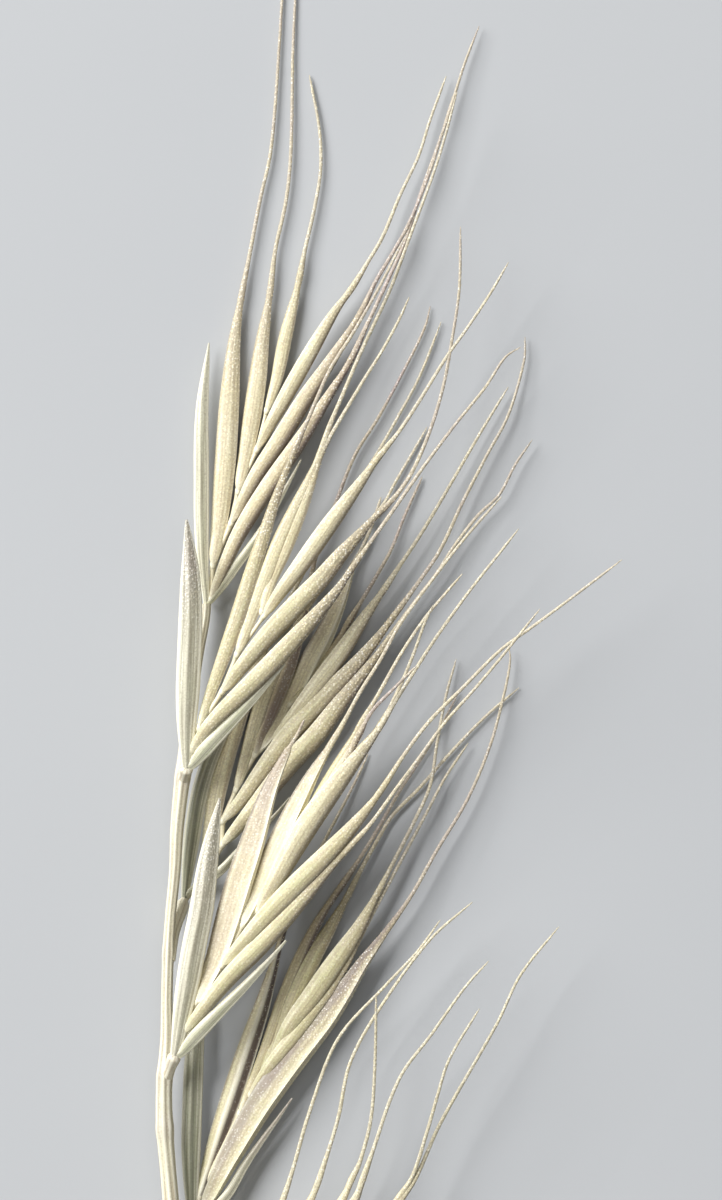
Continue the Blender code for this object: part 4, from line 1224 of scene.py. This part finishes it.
    def masks(self) -> tuple[np.ndarray, np.ndarray]:
        """Masks of the skin: where it is purple, green, pale and rough, and its edges.

        Purple and painted shade gather on one flank, purple also towards the top, green lower
        down, and roughness starts above the middle and runs on along the awn. The margins are
        pale and the ridge of an opened lemma has a painted highlight; painted shade lies in the
        groove inside the margins, on the flank and, where the paint asks for it, over the whole
        scale, and a dark line runs along an opened lemma's left edge.

        Returns:
            The four masks of the tint and the three of the marks at each point.
        """
        paint = self.floret.tone.value
        shape = self.rings.shape[:2]
        share, turn = self.share[:, None], self.turns[None]
        side = np.cos(np.radians(turn)) * self.floret.rank.value
        # Flank of purple and painted shade: darker and less pale towards one edge.
        toward_purple_shade = side * np.sign(paint.purple_shade)
        purple_shade_flank = risen(toward_purple_shade, start=paint.purple_shade_from, over=0.5) * abs(paint.purple_shade)
        upper = risen(share, start=0.5, over=0.45)
        awn = risen(share, start=0.95, over=0.25)
        low = bell(share, 0.16)
        # Purple of the scale, with the flank's purple and painted shade.
        spread = (paint.purple * (0.3 + 0.5 * upper) + 0.6 * purple_shade_flank) * (1.0 - 0.6 * low)
        tint = layered(
            shape,
            spread * (1.0 - awn) + (0.2 + 1.1 * paint.purple) * awn,
            paint.green * (1.0 - 0.6 * upper) * (1.0 - awn),
            paint.pale * (1.1 - 0.4 * purple_shade_flank) + 0.5 * low + 0.5 * awn,
            (0.14 + paint.rough * (0.28 + 0.6 * upper)) * (1 - awn) + 0.75 * awn,
        )
        past_margin = np.abs(turn) - self.margin
        margin = bell(past_margin + 3.0, 7.0) * (1.0 - risen(share, start=0.75, over=0.3))
        # Painted shade in the groove inside the margins.
        groove = bell(past_margin - 7.0, 5.0) * (1.0 - risen(share, start=0.6, over=0.4))
        # Painted highlight along the ridge of an opened lemma.
        crest = bell(side - paint.ridge, paint.crest) * (1.0 - risen(share, start=0.9, over=0.15))
        rim = paint.opened * bell(side + 0.95, 0.07)
        foot = bell(share, 0.05)
        # Painted shade on the flank and over the whole scale, and a dark line along an opened lemma's
        # left edge.
        shade_and_rim = 0.62 * purple_shade_flank**2 + 0.7 * rim + paint.shade_all_over
        marks = layered(
            shape,
            paint.edge * (margin + paint.opened * crest) + 0.5 * foot + 0.12 * awn,
            0.7 * groove + shade_and_rim * (1 - awn) * (1 - 0.4 * low),
            1.0 - 0.8 * awn,
        )
        return tint, marks


@dataclass
class PrickleCoat:
    """The short stiff prickles of an awn and of a lemma's upper part."""

    draw: np.random.Generator
    radius: float = 0.013
    awn_spacing: float = 0.085
    awn_length: float = 0.05
    awn_from: float = 0.86
    bare_tip: float = 0.1
    shift: float = 0.03
    swing: float = 0.9
    awn_lean: float = 0.55
    awn_hold: float = 0.8
    awn_tint: tuple[float, ...] = (0.25, 0.0, 0.8, 0.1)
    body_count: int = 150
    body_length: float = 0.032
    body_lean: float = 0.9
    body_slimness: float = 0.9
    body_reach: float = 0.55
    body_crowding: float = 1.4
    body_tint: tuple[float, ...] = (0.15, 0.0, 0.9, 0.1)

    def on_awn(self, shape: FloretShape, skin: Skin) -> None:
        """Sets prickles by turns on the awn's edges, leaning towards its tip.

        Each stands on the awn's side at a drawn turn, and its lean is the tangent plus
        about half of the outward direction.

        Args:
            shape: The floret that the awn belongs to.
            skin: Takes the prickles.
        """
        tangent, side, rise = frames_along(shape.path)
        first = float(np.interp(self.awn_from, shape.share, shape.lengths))
        last = float(shape.lengths[-1]) - self.bare_tip
        count = int((last - first) / self.awn_spacing)
        s = np.linspace(first, last, count) + self.draw.uniform(-self.shift, self.shift, count)
        which = np.where(np.arange(count) % 2 == 0, 0.0, math.pi)
        turn = (which + self.draw.uniform(-self.swing, self.swing, count))[:, None]
        path, ahead, right, above = (
            np.column_stack([np.interp(s, shape.lengths, block[:, k]) for k in range(3)])
            for block in (shape.path, tangent, side, rise)
        )
        out = np.cos(turn) * right + np.sin(turn) * above
        radius = np.interp(s, shape.lengths, shape.radius)[:, None]
        feet = path + out * radius * self.awn_hold
        lean = unit(ahead + self.awn_lean * out)
        lengths = self.awn_length * self.draw.uniform(0.7, 1.2, count)
        skin.add_prickles(feet, lean, lengths, self.radius, self.awn_tint)

    def on_body(self, shape: FloretShape, skin: Skin) -> None:
        """Scatters prickles over the lemma's upper part, more of them where it is rough.

        Args:
            shape: The floret that the lemma belongs to.
            skin: Takes the prickles.
        """
        count = int(self.body_count * shape.floret.tone.value.rough)
        share = 1.0 - self.body_reach * self.draw.random(count) ** self.body_crowding
        ring = np.searchsorted(shape.share, share).clip(1, shape.body_rings - 1)
        point = self.draw.integers(0, len(shape.turns), count)
        feet = shape.rings[ring, point]
        tangent, _, _ = frames_along(shape.path)
        lean = unit(unit(feet - shape.path[ring]) + self.body_lean * tangent[ring])
        lengths = self.body_length * self.draw.uniform(0.7, 1.3, count)
        radius = self.radius * self.body_slimness
        skin.add_prickles(feet, lean, lengths, radius, self.body_tint)


@dataclass
class GlumeShape:
    """Thin keeled scale with pale margins.

    Places across it run from -1 to 1, and heights are shares of half its width.
    """

    glume: Glume
    level: float
    foot: Point
    profile: Line
    keel_at: float = -0.15
    keel_height: float = 0.62
    keel_bend: float = 0.7
    nerve_height: float = 0.09
    nerve_width: float = 0.09
    right_nerve: float = 0.5
    left_nerve: float = 0.42
    lip_height: float = 0.06
    lip_at: float = 0.93
    lip_width: float = 0.08
    thickness: float = 0.34
    lift: float = 0.0
    lift_end: float = 0.3
    ring_count: int = 60
    points_each_way: int = 15

    def add_to(self, skin: Skin) -> None:
        """Adds the scale.

        The upper face rises from each margin to the keel along a bent line, with a nerve
        standing up half way to each side; the lower face is a shallow arch under it. The
        margins beyond the side nerves are thin and pale.

        Args:
            skin: Takes the scale.
        """
        route = Route((self.foot, *self.glume.midline))
        share = np.linspace(0.0, 1.0, self.ring_count)
        lengths = share * route.length
        radius = rounded(self.profile, share)[:, None] * self.glume.width / 2
        path = np.column_stack([route.at(lengths), self.level + self.lift * ease(share / self.lift_end)])
        out = -np.cos(np.linspace(0.0, math.pi, self.points_each_way))
        x = np.concatenate([out, out[::-1][1:-1]])
        keel = self.keel_at
        slope = np.where(x < keel, (x + 1) / (keel + 1), (1 - x) / (1 - keel))
        arch = self.keel_height * np.clip(slope, 0, 1) ** self.keel_bend
        nerves = bell(x - keel - self.right_nerve, self.nerve_width)
        nerves = nerves + bell(x - keel + self.left_nerve, self.nerve_width)
        lips = bell(x - self.lip_at, self.lip_width) + bell(x + self.lip_at, self.lip_width)
        upper = arch + self.nerve_height * nerves + self.lip_height * lips
        lower = -self.thickness * rounded_end(np.abs(x), 0.0)
        section = np.where(np.arange(len(x)) < self.points_each_way, upper, lower)
        x, section = x[::-1], section[::-1]
        rings = carried(path, radius * x, radius * section)
        skin.add_tube(rings, *self._masks(share, x), lengths)

    def _masks(self, share: np.ndarray, x: np.ndarray) -> tuple[np.ndarray, np.ndarray]:
        """Masks: pale margins and nerves, purple towards the tip, green at the foot.

        Args:
            share: Shares of the length.
            x: Places across the scale.

        Returns:
            The four masks of the tint and the three of the marks at each point.
        """
        paint = self.glume.tone.value
        shape = (len(share), len(x))
        s, x = share[:, None], x[None]
        upper = risen(s, start=0.45, over=0.4)
        margin = risen(np.abs(x), start=0.62, over=0.25)
        # Keel and right nerve: pale, with a painted highlight.
        nerve = bell(x - self.keel_at, 0.07) + bell(x - self.keel_at - self.right_nerve, 0.06)
        # Painted shade in bands between and beside the nerves.
        between = bell(x - 0.12, 0.2) + bell(x + 0.55, 0.14)
        tint = layered(
            shape,
            paint.purple * (0.3 + 1.0 * upper) * (1 - 0.6 * margin),
            paint.green * (1.1 - 0.5 * upper) * (1 - 0.5 * margin),
            paint.pale * (0.8 + 0.5 * margin),
            paint.rough * (0.15 + 0.6 * upper),
        )
        marks = layered(
            shape,
            paint.edge * (0.75 * margin + 0.7 * nerve),
            0.4 * between * (1 - 0.7 * upper) + paint.shade_all_over,
            1.0,
        )
        return tint, marks


@dataclass
class RachillaShape:
    """Jointed zigzag axis with a callus at each floret's foot."""

    spikelet: Spikelet
    sides: int = 12
    radius: float = 0.075
    thinning: float = 0.35
    joint: float = 0.02
    joint_length: float = 0.12
    overrun: float = 0.02
    rings_between: int = 16
    sink: float = 0.1
    tint: tuple[float, ...] = (0.1, 0.15, 0.8, 0.1)
    edge: float = 0.3
    callus: float = 0.085
    callus_length: float = 0.3
    callus_sunk: float = 0.35
    callus_rings: int = 12
    callus_tint: tuple[float, ...] = (0.1, 0.1, 1.0, 0.0)
    callus_edge: float = 0.7

    def add_to(self, skin: Skin) -> None:
        """Adds the axis and the calluses.

        The axis is a round tube along straight stretches between the florets' feet; its
        radius grows at each foot in a rounded bump.

        Args:
            skin: Takes the surfaces.
        """
        foot = np.array(self.spikelet.node)
        bases = [np.array(floret.lemma[0]) for floret in self.spikelet.florets]
        bases.sort(key=lambda base: float(np.linalg.norm(base - foot)))
        corners = np.array([foot, *bases])
        knots = np.concatenate([[0.0], np.cumsum(np.linalg.norm(np.diff(corners, axis=0), axis=1))])
        lengths = np.linspace(0.0, knots[-1] + self.overrun, self.rings_between * len(corners))
        flat = [np.interp(lengths, knots, corners[:, k]) for k in range(2)]
        height = np.full(len(lengths), self.spikelet.side.value - self.sink)
        bumps = sum(bell(lengths - k, self.joint_length) for k in knots)
        radius = self.radius * (1 - self.thinning * lengths / knots[-1]) + self.joint * bumps
        path = np.column_stack([*flat, height])
        skin.add_tube(*round_tube(path, radius, self.sides, lengths, self.tint, self.edge))
        for floret in self.spikelet.florets:
            self._add_callus(floret, skin)

    def _add_callus(self, floret: Floret, skin: Skin) -> None:
        """Adds one callus, a small egg along the first stretch of its floret.

        Args:
            floret: The floret that stands on it.
            skin: Takes the surface.
        """
        route = Route(floret.lemma)
        u = np.linspace(0.0, 1.0, self.callus_rings)
        lengths = (u - self.callus_sunk) * self.callus_length
        start, further = route.at(np.array([0.0, 0.2]))
        ahead = (further - start) / np.linalg.norm(further - start)
        height = np.full(len(u), self.spikelet.side.value - self.sink / 2)
        path = np.column_stack([start + lengths[:, None] * ahead, height])
        radius = self.callus * rounded_end(np.abs(2 * u - 1), 0.02)
        tint, edge = self.callus_tint, self.callus_edge
        skin.add_tube(*round_tube(path, radius, self.sides, lengths, tint, edge))


def round_tube(
    path: np.ndarray,
    radius: np.ndarray,
    sides: int,
    lengths: np.ndarray,
    tint: Sequence[float],
    edge: float,
) -> Tube:
    """Rings and masks of a round tube.

    Point j of a ring lies at j / sides of a turn, at the radius of its ring.

    Args:
        path: Points along the tube.
        radius: Radius at each point.
        sides: Points in a ring.
        lengths: Distance of each ring along the path.
        tint: Purple, green, pale and rough, the same all over.
        edge: How far the surface takes on the pale edge's colour.

    Returns:
        What Skin.add_tube takes.
    """
    angle = np.arange(sides) / sides * math.tau
    rings = carried(path, radius[:, None] * np.cos(angle), radius[:, None] * np.sin(angle))
    shape = rings.shape[:2]
    return rings, layered(shape, *tint), layered(shape, edge, 0.0, 1.0), lengths


@dataclass
class SpikeletLook:
    """Builds the fine pieces of one spikelet."""

    spikelet: Spikelet
    finishes: dict[str, bpy.types.Material]
    tips: random.Random
    draw: np.random.Generator
    lower_keel: float = -0.3
    lower_lift: float = 0.16

    def tip_height(self, rank: Rank) -> float:
        """Height of an awn's tip: low ones sink to the surface and high ones stand off.

        Args:
            rank: The row that the floret stands in.

        Returns:
            A drawn height.
        """
        if self.spikelet.side is Side.LOW:
            return self.tips.uniform(*LOW_TIP_HEIGHTS[rank.name])
        level = self.spikelet.side.value
        return level + rank.value * RANK_OFFSET + self.tips.uniform(*HIGH_TIP_LIFTS)

    def build(self) -> None:
        """Builds the florets, prickles, glumes and rachilla."""
        number = self.spikelet.number
        florets, prickles, glumes, axis = Skin(), Skin(), Skin(), Skin()
        coat = PrickleCoat(self.draw)
        for floret in self.spikelet.florets:
            shape = FloretShape(floret, self.spikelet.side.value, self.tip_height(floret.rank))
            florets.add_tube(shape.rings, *shape.masks(), shape.lengths)
            coat.on_awn(shape, prickles)
            coat.on_body(shape, prickles)
        self._add_glumes(glumes)
        RachillaShape(self.spikelet).add_to(axis)
        piece = florets.build(f"florets_{number}", self.finishes["lemma"])
        dressed(piece, "spikelets", f"spikelet_{number}")
        piece = prickles.build(f"prickles_{number}", self.finishes["prickle"], PRICKLE_ANGLE)
        dressed(piece, "spikelets")
        dressed(glumes.build(f"glumes_{number}", self.finishes["glume"]), "spikelets")
        dressed(axis.build(f"rachilla_{number}", self.finishes["joint"]), "spikelets")

    def _add_glumes(self, skin: Skin) -> None:
        """Adds the upper glume, and the lower one with its keel further to the left.

        Args:
            skin: Takes both.
        """
        upper, lower = self.spikelet.upper_glume, self.spikelet.lower_glume
        level, foot = self.spikelet.side.value, self.spikelet.node
        keel, lift = self.lower_keel, self.lower_lift
        GlumeShape(upper, level, foot, UPPER_GLUME_PROFILE).add_to(skin)
        GlumeShape(lower, level, foot, LOWER_GLUME_PROFILE, keel_at=keel, lift=lift).add_to(skin)


@dataclass
class StemLook:
    """Ribbed stem and rachis with its knots, and the short stalks of the spikelets."""

    finishes: dict[str, bpy.types.Material]
    sides: int = 42
    ring_count: int = 420
    smoothing: int = 12
    rib_count: int = 7
    rib_height: float = 0.05
    rib_turn: float = 0.7
    tint: tuple[float, ...] = (0.08, 0.25, 0.95, 0.15)
    knots: tuple[float, ...] = (-8.09, -11.2, -16.85, -6.75, -3.7, 0.75)
    knot_swell: float = 0.1
    knot_length: float = 0.22
    knot_stain_length: float = 0.3
    stalk_rings: int = 26
    stalk_radii: tuple[float, float] = (0.14, 0.175)
    stalk_ribs: float = 0.2
    stalk_tint: tuple[float, ...] = (0.25, 0.05, 1.0, 0.0)
    root_share: float = 0.8
    joint_from: float = 0.86
    reach: float = 0.04

    def build(self) -> None:
        """Builds the stem with its stalks."""
        skin = Skin()
        self._add_stem(skin)
        for path in PEDICELS:
            self._add_stalk(path, skin)
        dressed(skin.build("stem_skin", self.finishes["stem"]), "stem", "stem")

    def _ribbed(
        self,
        path: np.ndarray,
        radius: np.ndarray,
        lengths: np.ndarray,
        tint: Sequence[float],
        ribs: float = 1.0,
    ) -> Tube:
        """Rings whose radius swells in a wave round them, one crest for each rib.

        Args:
            path: Points along the tube.
            radius: Radius at each point, on the crests.
            lengths: Distance of each ring along the path.
            tint: Purple, green, pale and rough, before the ribs and slow waves change them.
            ribs: How strong the ribs are.

        Returns:
            What Skin.add_tube takes.
        """
        angle = np.arange(self.sides) / self.sides * math.tau
        wave = np.cos(self.rib_count * angle + self.rib_turn)
        swollen = radius[:, None] * (1.0 + ribs * self.rib_height * (wave - 1.0))
        rings = carried(path, swollen * np.cos(angle), swollen * np.sin(angle))
        shape = rings.shape[:2]
        crest = 0.5 + 0.5 * wave
        slow = 0.5 + 0.5 * np.sin(lengths * 0.9)[:, None]
        purple, green, pale, rough = tint
        tints = layered(shape, purple, green * (1.2 - crest), pale * (0.6 + 0.4 * slow), rough)
        # Painted highlight on the rib crests and painted shade in the grooves between them.
        marks = layered(shape, 0.85 * crest**3, 0.28 * ribs * (1 - crest) ** 2, 1.0)
        return rings, tints, marks, lengths

    def _add_stem(self, skin: Skin) -> None:
        """Adds the stem: its radius follows the widths' table and swells at each knot.

        Args:
            skin: Takes the surface.
        """
        last = (*SPIKELETS[0].node, STEM_ROUTE[-1][2])
        x, y, width = np.array((*STEM_ROUTE, last)).T
        route = Route(np.column_stack([x, y]))
        lengths = np.linspace(0.0, route.length, self.ring_count)
        flat = route.at(lengths)
        heights = np.interp(flat[:, 1], *np.array(STEM_LEVELS).T)
        window = 2 * self.smoothing + 1
        padded = np.pad(heights, self.smoothing, mode="edge")
        smooth = np.convolve(padded, np.full(window, 1 / window), "valid")
        swell = sum(bell(flat[:, 1] - k, self.knot_length) for k in self.knots)
        radius = np.interp(flat[:, 1], y, width / 2) * (1.0 + self.knot_swell * swell)
        path = np.column_stack([flat, smooth])
        rings, tint, marks, lengths = self._ribbed(path, radius, lengths, self.tint)
        stained = sum(bell(flat[:, 1] - k, self.knot_stain_length) for k in self.knots)
        stained = stained.clip(0, 1)[:, None]
        tint[..., 0] = np.clip(tint[..., 0] + 0.3 * stained, 0, 1)
        tint[..., 2] = np.clip(tint[..., 2] + 0.4 * stained, 0, 1)
        skin.add_tube(rings, tint, marks, lengths)

    def _stalk_route(self, flat: Line) -> Route:
        """Route of a stalk, which rises or falls evenly to the spikelet that it bears.

        Args:
            flat: Points along the stalk, seen from above.

        Returns:
            The route from the stem's middle into the spikelet nearest to its last point.
        """
        spikelet = min(SPIKELETS, key=lambda s: math.dist(s.node, flat[-1]))
        foot = np.array([*spikelet.node, spikelet.side.value])
        start = np.array([*flat[0], np.interp(flat[0][1], *np.array(STEM_LEVELS).T)])
        middle = [np.array([*p, 0.0]) for p in flat[1:-1]]
        for i, point in enumerate(middle, 1):
            point[2] = start[2] + (foot[2] - start[2]) * i / (len(middle) + 1)
        last = middle[-1] if middle else start
        ahead = (foot - last) / np.linalg.norm(foot - last)
        return Route([start, *middle, foot + ahead * self.reach])

    def _add_stalk(self, flat: Line, skin: Skin) -> None:
        """Adds one stalk, which swells to a pale joint under its spikelet.

        Args:
            flat: Points along the stalk, seen from above.
            skin: Takes the surface.
        """
        route = self._stalk_route(flat)
        lengths = np.linspace(0.0, route.length, self.stalk_rings)
        share = lengths / route.length
        thin, thick = self.stalk_radii
        radius = thin + (thick - thin) * risen(share, start=0.4, over=0.5)
        radius = radius * rounded_end((share - self.joint_from) / (1 - self.joint_from), 0.2)
        width = float(np.interp(flat[0][1], *np.array(STEM_ROUTE).T[[1, 2]]))
        root = self.root_share * width / 2
        radius = radius + (root - thin) * (1 - ease(share / 0.6))
        skin.add_tube(*self._ribbed(route.at(lengths), radius, lengths, self.stalk_tint, self.stalk_ribs))


@dataclass(frozen=True)
class Lamp:
    """Square soft light: its place and size in metres and its power in watts."""

    name: str
    place: tuple[float, float, float]
    size: float
    power: float

    def build(self) -> None:
        """Hangs the light so that it faces the head."""
        lamp = bpy.data.lights.new(self.name, "AREA")
        lamp.energy = self.power
        lamp.size = self.size
        light = bpy.data.objects.new(self.name, lamp)
        light.location = self.place
        light.rotation_euler = Vector(self.place).to_track_quat("Z", "Y").to_euler()
        bpy.context.scene.collection.objects.link(light)


@dataclass
class Studio:
    """Pale floor, soft lights and the camera over the head."""

    frame_height: float = 30.0
    frame_middle: Point = (-0.66, 5.115)
    camera_height: float = 0.6
    sensor: float = 36.0
    nearest: float = 0.01
    farthest: float = 10.0
    floor_half: float = 0.6
    floor_finish: PlainFinish = PlainFinish("Pale floor", (188, 190, 192), 0.85)
    sky_color: tuple[float, ...] = (0.93, 0.96, 1.0, 1.0)
    sky_strength: float = 0.15
    lamps: tuple[Lamp, ...] = (
        Lamp("Key", (-0.29, 0.2, 0.28), 0.3, 3.5),
        Lamp("Fill", (0.34, -0.1, 0.3), 0.4, 0.06),
        Lamp("Above", (0.0, 0.05, 0.5), 0.4, 0.3),
    )

    def build(self) -> None:
        """Builds the floor, the lights, the camera and the sky."""
        self._floor()
        for lamp in self.lamps:
            lamp.build()
        self._camera()
        world = bpy.data.worlds.new("Studio")
        world.use_nodes = True
        sky = world.node_tree.nodes["Background"].inputs
        sky["Color"].default_value = self.sky_color
        sky["Strength"].default_value = self.sky_strength
        bpy.context.scene.world = world
        bpy.context.scene.view_settings.view_transform = "Standard"

    def _floor(self) -> None:
        """Flat square sheet that the head lies on."""
        half = self.floor_half
        mesh = bpy.data.meshes.new("floor")
        corners = [(-half, -half, 0.0), (half, -half, 0.0), (half, half, 0.0), (-half, half, 0.0)]
        mesh.from_pydata(corners, [], [(0, 1, 2, 3)])
        mesh.materials.append(self.floor_finish.build())
        floor = bpy.data.objects.new("floor", mesh)
        bpy.context.scene.collection.objects.link(floor)

    def _camera(self) -> None:
        """Camera straight above the middle of the picture's frame."""
        lens = bpy.data.cameras.new("Camera")
        lens.sensor_fit = "VERTICAL"
        lens.sensor_height = self.sensor
        lens.lens = self.sensor * self.camera_height / (self.frame_height * MM)
        lens.clip_start = self.nearest
        lens.clip_end = self.farthest
        camera = bpy.data.objects.new("Camera", lens)
        x, y = (np.array(self.frame_middle) - HEAD_MIDDLE[:2]) * MM
        camera.location = (x, y, self.camera_height)
        bpy.context.scene.collection.objects.link(camera)
        bpy.context.scene.camera = camera


FINISHES = {
    "lemma": StrawFinish("Dry lemma"),
    "glume": StrawFinish(
        "Dry glume",
        ground=(238, 234, 206),
        green=(222, 227, 184),
        pale=(254, 250, 226),
        # Greyer dark for the glumes' painted shade and grain gaps.
        dark=(74, 80, 70),
        line=(158, 146, 122),
        lines=0.75,
        highlight_streaks=1.0,
        lines_across=34.0,
        roughness=0.36,
        coat=0.3,
        relief=1.0,
    ),
    "joint": StrawFinish("Dry joint", roughness=0.4, coat=0.25, grain=0.4),
    "stem": StrawFinish(
        "Dry stem",
        ground=(244, 238, 200),
        pale=(254, 251, 226),
        green=(230, 232, 190),
        lines=0.6,
        highlight_streaks=0.7,
        roughness=0.36,
        coat=0.3,
    ),
    "prickle": StrawFinish("Prickles", roughness=0.3, grain=0.0),
}


def main() -> None:
    """Builds the studio and dresses the head."""
    logging.basicConfig(level=logging.INFO, format="%(message)s")
    Studio().build()
    groups = {"nerves": nerve_group(), "grain": grain_group(), "stains": stain_group()}
    finishes = {piece: finish.build(groups) for piece, finish in FINISHES.items()}
    tips = random.Random(TIP_SEED)
    StemLook(finishes).build()
    for spikelet in SPIKELETS:
        draw = np.random.default_rng(PRICKLE_SEED + spikelet.number)
        SpikeletLook(spikelet, finishes, tips, draw).build()


if __name__ == "__main__":
    main()
